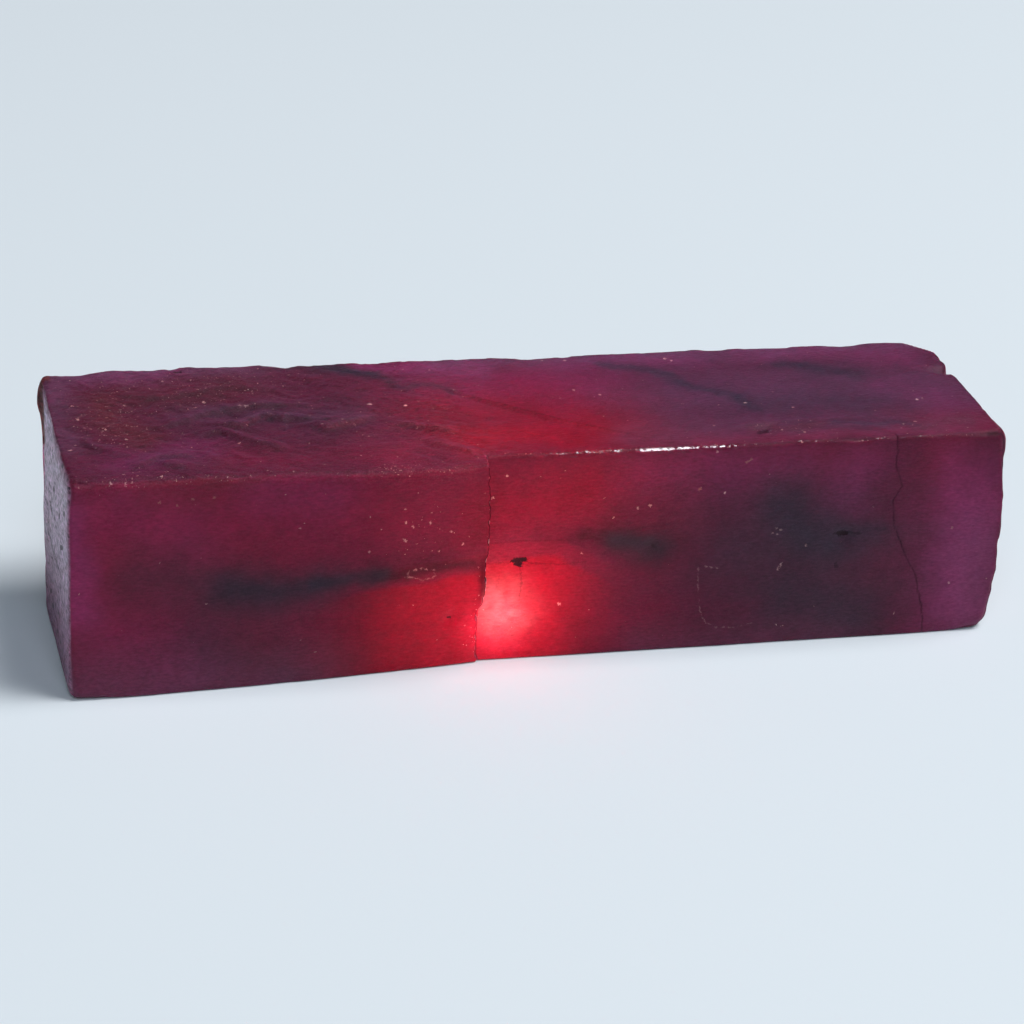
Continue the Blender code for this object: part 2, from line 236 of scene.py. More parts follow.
# The broken places. The top split along rough layers, most of all left of the crack, and a flake came
# off it from the crack to the right. Both ends broke across, with chipped corners and a crust rim.
# Each ridge: its rise, its width, then the places of its crest along and back.
RIDGES = (
    (0.6, 1.3, (-36.5, -0.2), (-33, -2.2), (-31, -2.7), (-28.6, -0.4), (-22.8, -1.8), (-17.5, -0.3)),
    (0.45, 1.1, (-38, -4.3), (-33.1, -3.9), (-29.8, -6.8), (-26, -8.8)),
    (0.6, 1.2, (-25, -2.2), (-22, -4), (-19.3, -3), (-15.5, -0.5)),
    (0.45, 1, (-16, -2.7), (-11.6, -4.8), (-7.8, -6.2)),
    (0.3, 0.9, (-14, -6.7), (-9.5, -10), (-7.4, -12)),
    (0.45, 1.1, (-44.4, -12.2), (-40.6, -9.2), (-36, -8.6)),
    (0.35, 0.9, (-41.2, -9.9), (-36.4, -12.6)), (0.35, 1, (-48, -3), (-46.5, -5.9), (-42.5, -8.5)),
    (0.4, 1.2, (-42.5, -2.4), (-36.7, -1), (-33.8, 1), (-28, 2.4), (-19, 2.4)),
    (0.25, 1.3, (-45, 6.3), (-38, 5), (-31, 7), (-23, 5.8)),
    (0.2, 1.3, (15.5, -10.2), (22.2, -7.6), (28.5, -7), (35.3, -7), (44.2, -7.5)),
    (0.18, 0.9, (28, -8.4), (34.1, -8.9), (40, -11.2)),
)
RIDGE_STEEPNESS = 0.4
RIDGE_TAPER = 0.3
CREASE = ((-8, 5.7), (-5.3, 3), (-0.1, -1.4), (2.9, -3.9), (6.6, -6.4), (11.4, -9.8))
CREASE_DROP = 0.32
CREASE_SLOPE = 0.5
CREASE_FADE = 7.0
CREASE_EDGE_FADE = 5.0
CREASE_START = 0.25
TOP_SWELL = (-37, 12.5, 0.4, 17, 7)
BACK_RISE = 0.16
PITS = (
    (33, -12.3, 12.6, 0.45, 1.1), (-2.8, -12.3, 11.2, 0.35, 1), (11.8, -12.3, 12.5, 0.3, 1),
    (-10.1, -12.3, 5.9, 0.35, 0.9), (24.3, -9, 23.9, 0.3, 0.9), (50, -11.3, 22.3, -0.35, 2.2),
    (50, 2, 13, 0.6, 2.2), (50, -5, 7, 0.45, 1.9), (-30, 12.3, 9, 0.5, 1.8), (18, 12.3, 15, 0.6, 2.4),
    (-4, 12.3, 5, 0.45, 1.8),
)
CHIPS = (
    ((46.9, 12.3, 23.9), (0.72, 0.62, 0.3)), ((49.7, 12.3, 17), (0.9, 0.42, 0.05)),
    ((-49.3, 12.3, 23.9), (-0.62, 0.55, 0.55)), ((-49.4, 5, 0), (-0.75, 0.5, -0.45)),
    ((48.9, 9.4, 0), (0.7, 0.45, -0.55)),
)
NOTCHES = (
    (50.2, 4.4, 23.9, 0.95, 3, 0.9, 2.6), (-23.5, 12.7, 23.9, 0.3, 1.2, 1.4, 1.6),
    (-46, 12.7, 23.9, 0.3, 1.6, 1.4, 1.6), (4, 12.7, 23.9, 0.25, 3.5, 1.6, 1.8),
    (40.5, 12.7, 23.9, 0.25, 1.4, 1.4, 1.6), (-28, 11, 0, 0.6, 5, 2.5, 2.5),
)
RIM_RISE = 0.35
RIM_PLACE = (11.6, 21.2)
RIM_SIZE = (1.2, 3)
LEFT_END_WAVE = 0.08
RIGHT_END_WAVE = 0.5
RIGHT_END_BULGE = 0.7
RIGHT_END_FOOT = 0.7


def along_line(x, y, line):
    """Distance of each point from a bent line, on which side of the line it lies, and how far along
    the line its nearest place is, from 0 to 1."""
    nearest = np.full(len(x), np.inf)
    side = np.zeros(len(x))
    run_share = np.zeros(len(x))
    for number, ((ax, ay), (bx, by)) in enumerate(zip(line, line[1:])):
        run_x = bx - ax
        run_y = by - ay
        share = ((x - ax) * run_x + (y - ay) * run_y) / (run_x ** 2 + run_y ** 2)
        share = np.clip(share, 0.0, 1.0)
        off_x = x - ax - share * run_x
        off_y = y - ay - share * run_y
        distance = np.hypot(off_x, off_y)
        closer = distance < nearest
        nearest[closer] = distance[closer]
        side[closer] = np.sign(run_x * off_y - run_y * off_x)[closer]
        run_share[closer] = (number + share[closer]) / (len(line) - 1)
    return nearest, side, run_share


def tapered(run_share):
    """1 along a ridge, falling smoothly to 0 at both of its ends."""
    return smooth(run_share / RIDGE_TAPER) * smooth((1.0 - run_share) / RIDGE_TAPER)


def top_relief(x, y):
    """Height of the top above its flat plane: ridges, the crease and slow waves."""
    height = np.zeros(len(x))
    for rise, width, *line in RIDGES:
        distance, side, run_share = along_line(x, y, line)
        reach = np.where(side < 0.0, width * RIDGE_STEEPNESS, width)
        height = np.maximum(height, rise * tapered(run_share) * bump(distance / reach))
    distance, side, run_share = along_line(x, y, CREASE)
    drop = smooth(distance / CREASE_SLOPE) * bump(distance / CREASE_FADE)
    drop *= smooth((y + DEPTH / 2) / CREASE_EDGE_FADE) * smooth(run_share / CREASE_START)
    height -= CREASE_DROP * drop * (side < 0.0)
    swell_x, swell_y, swell_rise, swell_length, swell_depth = TOP_SWELL
    height += swell_rise * np.exp(-((x - swell_x) / swell_length) ** 2 - ((y - swell_y) / swell_depth) ** 2)
    height += BACK_RISE * smooth(2.0 * y / DEPTH)
    left_share = smooth(-x / 20.0)
    return height + TOP_WAVE * (0.4 + 0.6 * left_share) * waves(x, y)


def rim_share(y, z):
    """1 on the crust rim high at the back of the left end, with fairly steep sides."""
    across = (y - RIM_PLACE[0]) / RIM_SIZE[0]
    up = (z - RIM_PLACE[1]) / RIM_SIZE[1]
    return bump(across ** 2) * bump(up ** 2)


def shape_ends(points):
    """Bends the two broken ends: a rim at the left, a bulge and a set back foot at the right."""
    x, y, z = points.T
    up = np.clip(z / HEIGHT, 0.0, 1.0)
    left_share = smooth(-x / LENGTH * 10.0 - 4.0)
    right_share = smooth(x / LENGTH * 10.0 - 4.0)
    rim = RIM_RISE * rim_share(y, z)
    rough = BREAK_WAVE * waves(y, z)
    bulge = RIGHT_END_BULGE * np.sin(np.pi * up) + RIGHT_END_FOOT * (1.0 - up)
    x = x + left_share * (LEFT_END_WAVE * rough - rim) + right_share * (bulge + RIGHT_END_WAVE * rough)
    return np.column_stack((x, y, z))


def break_chips(points):
    """Lays every point beyond a chip's facet back onto the facet."""
    for place, direction in CHIPS:
        normal = np.array(direction) / np.linalg.norm(direction)
        beyond = np.maximum((points - np.array(place)) @ normal, 0.0)
        points = points - beyond[:, None] * normal
    return points


def press_in(points, normals):
    """Pushes the surface in at every pit and notch."""
    for x, y, z, depth, radius in PITS:
        points = points - depth * nearness(points, (x, y, z), radius)[:, None] * normals
    for x, y, z, depth, *half_sizes in NOTCHES:
        points = points - depth * nearness(points, (x, y, z), np.array(half_sizes))[:, None] * normals
    return points


def main_form(block_points):
    """Takes the points of the plain block to the stone's main form, with its underside left flat."""
    normals = outward_directions(block_points)
    points = round_edges(block_points)
    flat = points[:, 2] < ON_FLOOR
    points = press_in(points, normals)
    points[flat, 2] = 0.0
    points = front_and_back(points, block_points)
    up = np.clip(points[:, 2] / HEIGHT, 0.0, 1.0)
    points[:, 2] += top_relief(points[:, 0], points[:, 1]) * up ** 2
    points = follow_path(points, CRACK_X, CRACK_PATH, CRACK_REACH)
    points = follow_path(points, HAIRLINE_X, HAIRLINE_PATH, 2 * CRACK_REACH)
    points = shape_ends(points)
    return break_chips(points)


# The fine surface. Between the ridges the top is torn into thin wavy layers, the ends are grainy, the
# sawn faces are almost smooth, and small bites are gone from the long edges.
LAYER_SIZES = ((2.6, 0.95, 2, 0.09), (1.2, 0.5, 1.5, 0.06))
LEFT_END_HOLLOW = 0.25
BITE_DEPTH = 0.13
NIBBLE_DEPTH = 0.06
# Handling wore a narrow facet along the front top edge: places along the bar, how deep it cuts the
# edge there, and how much of it is polished.
WORN_PLACES = (-6.9, -1.5, 1, 7.6, 8, 8.9, 9.2, 12.6, 13.4, 18.5, 20.5, 46, 48)
WORN_DEPTHS = (0, 0.13, 0.19, 0.19, 0.13, 0.13, 0.23, 0.23, 0.2, 0.19, 0.14, 0.13, 0)
WORN_POLISH = (0, 0.2, 0.48, 0.5, 0.1, 0.1, 0.78, 0.74, 0.54, 0.52, 0.24, 0.18, 0)
GRAIN_SIZES = ((2.4, 0.035), (0.9, 0.035))


def mottle(points, size, number):
    """Smooth random values from -1 to 1: seeded values at the corners of a lattice with cells of the
    given size, blended by a smooth step along each axis."""
    table = np.random.default_rng(number).uniform(-1.0, 1.0, (64, 64, 64))
    scaled = points / np.array(size)
    cell = np.floor(scaled).astype(int)
    share = smooth(scaled - cell)
    value = np.zeros(len(points))
    for corner in np.ndindex(2, 2, 2):
        weight = np.where(corner, share, 1.0 - share).prod(axis=1)
        i, j, k = ((cell + corner) % 64).T
        value += weight * table[i, j, k]
    return value


def grid_normals(points, outward):
    """Unit normals of the grid: the cross product of its steps along a row and along a column, turned
    to the side that outward points to."""
    grid = points[:-2].reshape(-1, COLUMNS_ROUND, 3)
    along = np.gradient(grid, axis=0)
    around = np.roll(grid, -1, axis=1) - np.roll(grid, 1, axis=1)
    normals = np.cross(around, along).reshape(-1, 3)
    normals = np.concatenate((normals, ((-1.0, 0.0, 0.0), (1.0, 0.0, 0.0))))
    normals /= np.linalg.norm(normals, axis=1, keepdims=True) + 1e-12
    return normals * np.sign((normals * outward).sum(axis=1, keepdims=True) + 1e-9)


def facing(part, least, spread):
    """How far a face is turned one way: 0 where that part of its normal is least, 1 a spread above."""
    return smooth((part - least) / spread)


def on_left_end(normals):
    """1 on the left end's face, 0 elsewhere."""
    return facing(-normals[:, 0], 0.6, 0.3)


def torn_layers(points):
    """Wavy layers: folded random values, stretched along the bar and bent by a slower random value."""
    height = np.zeros(len(points))
    bent = points.copy()
    bent[:, 0] += 0.6 * points[:, 1]
    bent[:, 1] += 1.4 * mottle(points, 3.4, 11) + 0.4 * mottle(points, 1.1, 15) + 0.12 * points[:, 0]
    for number, (length, depth, rise, size) in enumerate(LAYER_SIZES):
        folded = 1.0 - 2.0 * np.abs(mottle(bent, (length, depth, rise), 12 + number))
        height += size * folded
    return height


def fine_relief(points, block_points, normals):
    """Height of the fine surface over the main form, along its normals."""
    x, y, z = points.T
    top = facing(normals[:, 2], 0.5, 0.3)
    ends = facing(np.abs(normals[:, 0]), 0.6, 0.3) * (np.abs(x) > LENGTH / 2 - 3.0)
    torn = top * (0.12 + 0.88 * smooth((2.0 - x) / 14.0) * smooth((mottle(points, 9.0, 21) + 0.9) / 0.8))
    torn *= 0.35 + 0.65 * smooth((DEPTH / 2 - y) / 2.5)
    height = torn * torn_layers(points)
    for number, (size, rise) in enumerate(GRAIN_SIZES):
        height += rise * (0.4 + 1.2 * torn + 1.5 * ends) * mottle(points, size, 31 + number)
    hollow = on_left_end(normals) * smooth((z - 8.0) / 8.0) * smooth(y / 6.0 + 0.5)
    height -= LEFT_END_HOLLOW * hollow * (1.0 - rim_share(y, z))
    edge = edge_distance(block_points)
    bites = smooth((mottle(points, 1.5, 41) - 0.15) / 0.6) * bump(edge / 0.55) * (x > -49.0)
    nibbles = (0.5 + 0.5 * mottle(points, 0.5, 42)) * bump(edge / 0.3)
    worn = 1.0 - 0.8 * bump((x - 13.0) / 9.0) * (y < 0.0)
    height -= worn * (BITE_DEPTH * bites + NIBBLE_DEPTH * nibbles)
    calm = 1.0 - bump((block_points[:, 0] - CRACK_X) / 0.35) * facing(-normals[:, 1], 0.2, 0.3)
    lifted = np.clip(z / 0.4, 0.0, 1.0)
    return height * calm * lifted


def bevel_edge(points):
    """Lays the front top edge right of the crack back onto its worn facet, at 45 degrees."""
    x, y, z = points.T
    beyond = (z - HEIGHT - y - DEPTH / 2) / np.sqrt(2.0) + np.interp(x, WORN_PLACES, WORN_DEPTHS)
    inwards = np.maximum(beyond, 0.0) * smooth((x - CRACK_X - 1.0) / 2.0) / np.sqrt(2.0)
    return np.column_stack((x, y + inwards, z - inwards))


def hairline_share(points):
    """1 on the hairline crack, falling to 0 within a tenth of a millimetre of it, on the front only."""
    wander = 0.12 * mottle(points, 1.6, 51) + 0.10 * mottle(points, 0.6, 52)
    distance = points[:, 0] - np.interp(points[:, 2], *zip(*HAIRLINE_PATH)) - wander
    return bump(distance / 0.10) * (points[:, 1] < -DEPTH / 2 + 1.0)


# Colour in the stone. The ruby is purplish red, magenta where it is thin at its ends, and clearer and
# redder round the crack, where the red is partly painted glow. Slate coloured clouds run through it, and
# the top is stained brown in places. Painted sheen, highlights and shade lie on the top and the left
# end, and painted shade in the crack.
RUBY = (0.097, 0.0085, 0.0315)
MAGENTA = (0.238, 0.0275, 0.112)
SLATE = (0.027, 0.0185, 0.0325)
WINE = (0.215, 0.0075, 0.037)
# The clear red round the crack is partly the stone's own colour and partly painted glow, where the light
# through the stone shows.
CLEAR_AND_GLOW_RED = (0.21, 0.003, 0.017)
# Painted glow: the pale hot core where the light through the stone is brightest.
PAINTED_GLOW_CORE = (0.24, 0.06, 0.082)
BROWN = (0.105, 0.015, 0.024)
# Painted sheen: the pale reflection of the sky on the top, strongest on its right half and on slopes that
# face backwards.
PAINTED_SHEEN = (0.093, 0.027, 0.063)
# Painted light: a pale lilac for bounced light, sheen and highlights.
PAINTED_PALE_LIGHT = (0.155, 0.08, 0.145)
SMOKE = (0.036, 0.0045, 0.012)
# Painted sheen: the pale reflection of the floor on the left end, paler towards its top.
PAINTED_END_SHEEN = (0.56, 0.42, 0.55)
# The left end's own plum colour, made paler as painted sheen too.
PLUM_AND_SHEEN = (0.24, 0.115, 0.185)
CRUST = (0.12, 0.027, 0.028)
BLACK = (0.012, 0.002, 0.005)
# The clear red of the front, which is partly painted glow, ends upwards at this line of places and
# heights, and again in a fainter step higher up.
CLEAR_CEILING = (
    (-26, 8), (-23, 9.3), (-18.6, 10.1), (-13, 10.5), (-8.6, 11.1), (-6, 11.6), (-1.7, 12.1),
    (1.5, 11.8), (3.7, 10.6), (8, 8),
)
CLEAR_STEP = 2.2
# Widths on the left end: the plum margin round the painted sheen in its middle, and the crust on its
# back edge, which reaches down to the given height.
END_SHEEN_MARGIN = 2.4
CRUST_WIDTH = 2.4
CRUST_FOOT = 17.2
# The shares of red, green and blue, or of all three, taken off as painted shade: from the whole top,
# from the hollows in front of its ridges, from its slopes that face forwards and from the worn front top
# edge.
TOP_PAINTED_SHADE = (0.12, 0.22, 0.05)
HOLLOW_PAINTED_SHADE = (0.20, 0.27, 0.21)
FORWARD_PAINTED_SHADE = 0.22
EDGE_PAINTED_SHADE = 0.35
EDGE_PAINTED_SHADE_REACH = 0.45
# How strong the painted reflection is on the slopes that face backwards, and how strong and how wide
# the painted highlights on the crests of the ridges are.
BACKWARD_PAINTED_SHEEN = 0.30
CREST_PAINTED_PALE_LIGHT = 0.25
CREST_WIDTH = 0.20
# Each streak: strength, half width, then the places of its bent line, across and up for the front,
# along and back for the top.
FRONT_SLATE = (
    (0.5, 3.2, (-43, 13.5), (-37, 12.5), (-31, 11.5)),
    (0.8, 2.4, (-34, 11.2), (-28.5, 10.6), (-24.5, 11.4)),
    (0.75, 0.75, (-25, 11.6), (-21.8, 11.5), (-17.8, 11.7)), (0.33, 3.6, (-36, 5), (-30, 4), (-28, 2)),
    (0.85, 1.4, (7.6, 13.3), (10.2, 12.8), (12.8, 12)), (0.5, 5.2, (22, 11), (27, 13), (32, 12)),
    (0.75, 3.2, (26, 16.5), (28.5, 13), (31.5, 12)), (0.7, 3.6, (26.5, 5.5), (31, 4.5), (36, 3)),
    (0.5, 1.6, (33, 12.6), (37, 13.2)),
)
FRONT_SMOKE = (
    (0.8, 0.6, (-18.5, 11.6), (-13.9, 11.9), (-8.2, 12.3)),
    (0.45, 1.6, (-18.5, 12.6), (-13.9, 13), (-10.5, 13.2)), (0.2, 1.1, (-7.4, 18.5), (-7.7, 12)),
    (0.28, 0.8, (-1, 14.4), (4.5, 13.9)), (0.65, 1.1, (3.6, 14.1), (7, 13.6), (10, 13)),
    (0.8, 1.8, (8, 13.3), (10.2, 13), (12.6, 12.2)), (0.3, 3.2, (8, 15.5), (12.5, 15)),
)
TOP_SLATE = (
    (0.9, 1.2, (-26.1, 12.3), (-19, 10.9), (-14.9, 8.6)),
    (0.6, 0.9, (-15, 8.6), (-11.2, 6), (-7, 4.5)),
    (0.8, 0.9, (11, 9.6), (15.5, 7.3), (18.4, 3.4), (22.8, 0.1), (25, -3.4)),
    (0.85, 1.7, (31, 7.5), (35, 5.5), (38.5, 4)), (0.45, 3, (25, -2), (33, -3), (40, -3)),
    (0.6, 0.6, (32.7, -7.9), (36, -8.6), (41, -9.2)),
    (0.25, 2, (-36, 2), (-30, 1), (-24, 0), (-18, 0)),
)
FRONT_MAGENTA = (
    (0.65, 2.4, (-49.8, 20), (-49.4, 14), (-48.8, 9.8)), (0.3, 4, (-44, 20.5), (-38, 18)),
    (0.3, 3.4, (-30, 22), (-24, 21.5)), (0.35, 3.2, (10.5, 21), (14, 21.5)),
    (0.4, 3.2, (19, 21.4), (27, 21)), (0.5, 3.4, (34, 20.5), (33, 17)), (0.5, 3, (45, 20), (48, 19)),
    (0.95, 4.6, (47, 14), (47.4, 9), (47, 4.5)), (0.25, 5, (-44, 6), (-38, 3)),
)
TOP_MAGENTA = (
    (0.45, 1.8, (-45, 10), (-36, 10.5)), (0.55, 2, (-15.3, 10.8), (-8, 10.5), (-2, 10)),
    (0.5, 2, (7, 10.4), (12, 10.6), (22, 9.8)), (0.45, 2.6, (28, 10.6), (36, 10.8), (45, 9)),
    (0.3, 3, (42, 0), (47, -4)), (0.35, 3, (-44, -10.5), (-36, -7)), (0.3, 5, (-8, 6.5), (8, 6)),
)
FRONT_WINE = (
    (0.85, 9, (-42, 19), (-30, 18), (-23, 19)), (0.4, 4, (-30, 4.5), (-22, 4)),
    (0.5, 6, (-45, 16), (-45, 10)), (0.35, 4, (8, 2.5), (12, 3.5)),
    (0.6, 2.2, (-46.8, 20.5), (-45.6, 17.5)), (0.6, 4, (44, 21), (47, 16)),
    (0.6, 3.5, (-42, 22.6), (-24, 22.6)), (0.45, 3, (19, 22.6), (34, 22.2)),
)
FRONT_PAINTED_GLOW_CORE = ((0.95, 2, (-6.4, 7.8), (-4.8, 5.2)), (0.6, 2.4, (-5, 8.2), (-2.4, 5.6)))
TOP_WINE = (
    (0.45, 1.7, (17, -11.6), (30, -11.3), (48, -10.8)), (0.4, 3, (-34, -10.8), (-16, -10.8)),
    (0.5, 3, (42, -8), (48, -9)),
)
TOP_BROWN = (
    (0.8, 2.2, (-45, 4.5), (-44, 0), (-41, -4)), (0.5, 3.5, (-42, 6), (-36, 5), (-30, 6.5)),
    (0.7, 1, (22.7, -9.3), (26, -8.6), (30.5, -8.5)), (0.5, 1.4, (41, -9.5), (46, -9)),
)
FRONT_BROWN = (
    (0.35, 0.8, (-43.5, 24.3), (-38, 23.9), (-31, 23.3)), (0.25, 1.6, (-42, 22), (-36, 21.8)),
)
FRONT_CLEAR_AND_GLOW = ((0.6, 4.6, (-6, 18), (0, 18.6), (4, 19)),)
TOP_PAINTED_SHEEN = (
    (0.75, 9, (18, 0), (32, 1), (44, 0)), (0.45, 3.5, (-36, 1), (-28, 0), (-20, -1)),
    (0.4, 2, (-40, -9), (-36, -10)),
)
# The pale lilac is painted light: floor light bounced onto the foot of the front and the right end, a
# faint sheen on the front's right half and on the top, and highlights along the top's edges.
FRONT_PAINTED_PALE_LIGHT = (
    (0.2, 4, (-50, 0.5), (-24, 0)), (0.14, 2.5, (12, 0.5), (34, 0.5)), (0.2, 4, (49, 10), (49, 2)),
    (0.08, 9, (22, 15), (42, 10)),
)
TOP_PAINTED_PALE_LIGHT = (
    (0.45, 3.2, (-48, 12), (-28, 12.4)), (0.45, 3.2, (-6, 12), (46, 12.4)),
    (0.3, 2, (-49.5, 8), (-49.5, -6)), (0.18, 9, (20, 2), (34, 0), (48, 0)),
    (0.2, 3, (10, -9), (46, -10)),
)
TOP_CLEAR_AND_GLOW = ((0.9, 4.5, (-6.5, -8), (-2, -7), (3, -9)), (0.5, 6, (-8, 0), (0, 0), (6, -6)))


def streaks(across, up, lines):
    """How much of a face the soft streaks cover, from 0 to 1: each fades from its bent line."""
    bare = np.ones(len(across))
    for strength, width, *line in lines:
        distance = along_line(across, up, line)[0]
        bare *= 1.0 - strength * bump(distance / width)
    return 1.0 - bare


def ridge_shares(x, y):
    """How near each point of the top is to a ridge's crest, and to the hollow in front of it."""
    crest = np.zeros(len(x))
    hollow = np.zeros(len(x))
    for rise, width, *line in RIDGES:
        distance, side, run_share = along_line(x, y, line)
        strength = 1.6 * rise * tapered(run_share)
        crest = np.maximum(crest, strength * bump(distance / CREST_WIDTH))
        hollow = np.maximum(hollow, strength * (side < 0.0) * bump(distance / width - 0.9))
    return np.minimum(crest, 1.0), np.minimum(hollow, 1.0)


def stone_colour(points, normals, fine_normals):
    """Colour of every point, laid layer over layer from the ruby's own red. On the top a painted reflection
    lightens the slopes that face backwards, painted highlights lie on the crests of the ridges, and painted
    shade darkens the whole top, its hollows, its slopes that face forwards and the worn front top edge."""
    x, y, z = points.T
    ragged_x = x + 0.9 * mottle(points, 3.0, 61) + 0.35 * mottle(points, 0.9, 62)
    ragged_y = y + 0.9 * mottle(points, 3.0, 63) + 0.35 * mottle(points, 0.9, 64)
    ragged_z = z + 0.6 * mottle(points, (5.0, 3.0, 2.5), 65) + 0.2 * mottle(points, 0.9, 66)
    top = facing(normals[:, 2], 0.5, 0.4)
    front = facing(-normals[:, 1], 0.2, 0.4) * (1.0 - top)
    hidden = (1.0 - top) * (1.0 - front)
    cloudy = smooth((mottle(points, (9.0, 6.0, 5.0), 67) - 0.05) / 0.7)
    rosy = smooth((mottle(points, (8.0, 7.0, 9.0), 68) - 0.1) / 0.7)

    def cover(front_lines, top_lines, elsewhere):
        on_front = streaks(ragged_x, ragged_z, front_lines) if front_lines else 0.0
        on_top = streaks(ragged_x, ragged_y, top_lines) if top_lines else 0.0
        return front * on_front + top * on_top + hidden * elsewhere

    ceiling = np.interp(x, *zip(*CLEAR_CEILING)) + 0.25 * mottle(points, (2.5, 2.0, 1.0), 72)
    under = 0.6 * smooth((ceiling - z) / 0.7 + 0.5) + 0.4 * smooth((ceiling + CLEAR_STEP - z) / 0.6 + 0.5)
    clear_and_glow_front = front * under * smooth((x + 28.5) / 12.0) * smooth((11.0 - x) / 11.0)
    left_end = on_left_end(normals)
    to_front = y + DEPTH / 2 + between(PROUD_END_BOTTOM, PROUD_END_TOP, z / HEIGHT)
    margin = np.minimum(to_front, HEIGHT - z) + 0.5 * mottle(points, 1.2, 75)
    end_sheen = left_end * smooth((z - 2.5) / 12.0) * smooth(margin / END_SHEEN_MARGIN)
    to_back = DEPTH / 2 - BACK_LEAN_LEFT * (1.0 - z / HEIGHT) - y + 0.4 * mottle(points, 0.8, 76)
    crusted = smooth((CRUST_WIDTH - to_back) / 0.5) * smooth((z - CRUST_FOOT) / 0.6) * (x < 1.0 - LENGTH / 2)
    layers = (
        (PAINTED_SHEEN, cover((), TOP_PAINTED_SHEEN, 0.0)),
        (WINE, cover(FRONT_WINE, TOP_WINE, 0.5)),
        # Painted glow: the clear red and the pale core round the crack.
        (CLEAR_AND_GLOW_RED, np.maximum(cover(FRONT_CLEAR_AND_GLOW, TOP_CLEAR_AND_GLOW, 0.0), clear_and_glow_front)),
        (PAINTED_GLOW_CORE, cover(FRONT_PAINTED_GLOW_CORE, (), 0.0) * (x > CRACK_X) * (0.75 + 0.45 * mottle(points, 0.8, 74))),
        (MAGENTA, cover(FRONT_MAGENTA, TOP_MAGENTA, 0.7 * rosy)),
        (SMOKE, cover(FRONT_SMOKE, (), 0.0)),
        (SLATE, cover(FRONT_SLATE, TOP_SLATE, 0.8 * cloudy)),
        (BROWN, cover(FRONT_BROWN, TOP_BROWN, 0.0)),
        (PAINTED_PALE_LIGHT, cover(FRONT_PAINTED_PALE_LIGHT, TOP_PAINTED_PALE_LIGHT, 0.0)),
        # The left end: its plum, and the painted sheen over its middle, paler towards its top.
        (PLUM_AND_SHEEN, left_end),
        (PAINTED_END_SHEEN, 0.9 * end_sheen),
        (CRUST, crusted),
    )
    colour = np.repeat(np.array(RUBY)[None], len(points), axis=0)
    torn = top * smooth((8.0 - x) / 12.0)
    backward_sheen = torn * facing(fine_normals[:, 1], 0.0, 0.30)
    from_edge = from_front_edge(points)
    forward = torn * facing(-fine_normals[:, 1], 0.0, 0.45) * smooth((from_edge - 0.8) / 1.2)
    crest, hollow = ridge_shares(x + 0.3 * mottle(points, 1.0, 77), y + 0.3 * mottle(points, 1.0, 78))
    # Painted reflection on the top's slopes that face backwards, and painted highlights on the ridges'
    # crests.
    for layer, share in layers + ((PAINTED_SHEEN, BACKWARD_PAINTED_SHEEN * backward_sheen), (PAINTED_PALE_LIGHT, CREST_PAINTED_PALE_LIGHT * top * crest)):
        colour = between(colour, np.array(layer), share[:, None])
    # Painted shade: the top, the hollows in front of the ridges, the slopes that face forwards and the worn
    # front top edge are darkened.
    edge_shade = bump(from_edge / EDGE_PAINTED_SHADE_REACH) * (x > CRACK_X)
    losses = (
        (FORWARD_PAINTED_SHADE, forward), (HOLLOW_PAINTED_SHADE, top * hollow), (TOP_PAINTED_SHADE, top), (EDGE_PAINTED_SHADE, edge_shade),
    )
    for loss, share in losses:
        colour *= 1.0 - np.array(loss) * share[:, None]
    return colour * (1.0 + 0.09 * mottle(points, 1.3, 69) + 0.08 * mottle(points, 4.0, 70))[:, None]


def dark_and_shade_share(points, block_points):
    """Painted shade in the crack, less at its foot, on the lip left of it and on the edges that lie in
    shade, and the dark of the hairline.
    """
    front = points[:, 1] < -DEPTH / 2 + 3.5
    beside_crack = block_points[:, 0] - CRACK_X
    crack_shade = smooth((0.26 - np.abs(beside_crack + 0.04)) / 0.1) * front * (points[:, 2] < HEIGHT - 0.2)
    crack_shade *= 0.25 + 0.75 * smooth((points[:, 2] - 4.0) / 5.0)
    lip_shade = bump((beside_crack + 0.4) / 0.5) * bump((points[:, 2] - 10.2) / 3.4) * front * (beside_crack < 0.1)
    hairline = 0.75 * hairline_share(points) * (0.7 + 0.3 * mottle(points, 1.1, 73))
    behind = (points[:, 1] > 0.0) & (points[:, 0] > 2.0 - LENGTH / 2) | (points[:, 0] > LENGTH / 2 - 2.0)
    shaded_edge = 0.6 * bump(edge_distance(block_points) / 0.35) * behind
    return np.maximum.reduce((0.95 * crack_shade, 0.80 * lip_shade, hairline, shaded_edge))


def from_front_edge(points):
    """Distance from the front top edge, which stands further forward left of the crack."""
    x, y, z = points.T
    proud = between(PROUD_END_TOP, PROUD_CRACK_TOP, share_to_crack(x)) * (x < CRACK_X)
    return np.hypot(y + DEPTH / 2 + proud, z - HEIGHT)


def rough_share(points, normals):
    """How rough each point is: 0 on the sawn faces, up to 1 on the torn top, on the ends and on the
    front top edge left of the crack."""
    x = points[:, 0]
    torn_top = facing(normals[:, 2], 0.3, 0.4) * (0.25 + 0.6 * smooth((4.0 - x) / 14.0))
    ends = 0.5 * facing(normals[:, 0], 0.5, 0.4) + 0.4 * on_left_end(normals)
    left_edge = 0.5 * bump(from_front_edge(points) / 1.6) * smooth((CRACK_X - 1.0 - x) / 2.0)
    return np.maximum(torn_top + ends, left_edge)


def shine_share(points):
    """How polished the front top edge is, from 0 to 1, fading away from the edge."""
    return bump(from_front_edge(points) / 0.7) * np.interp(points[:, 0], WORN_PLACES, WORN_POLISH)


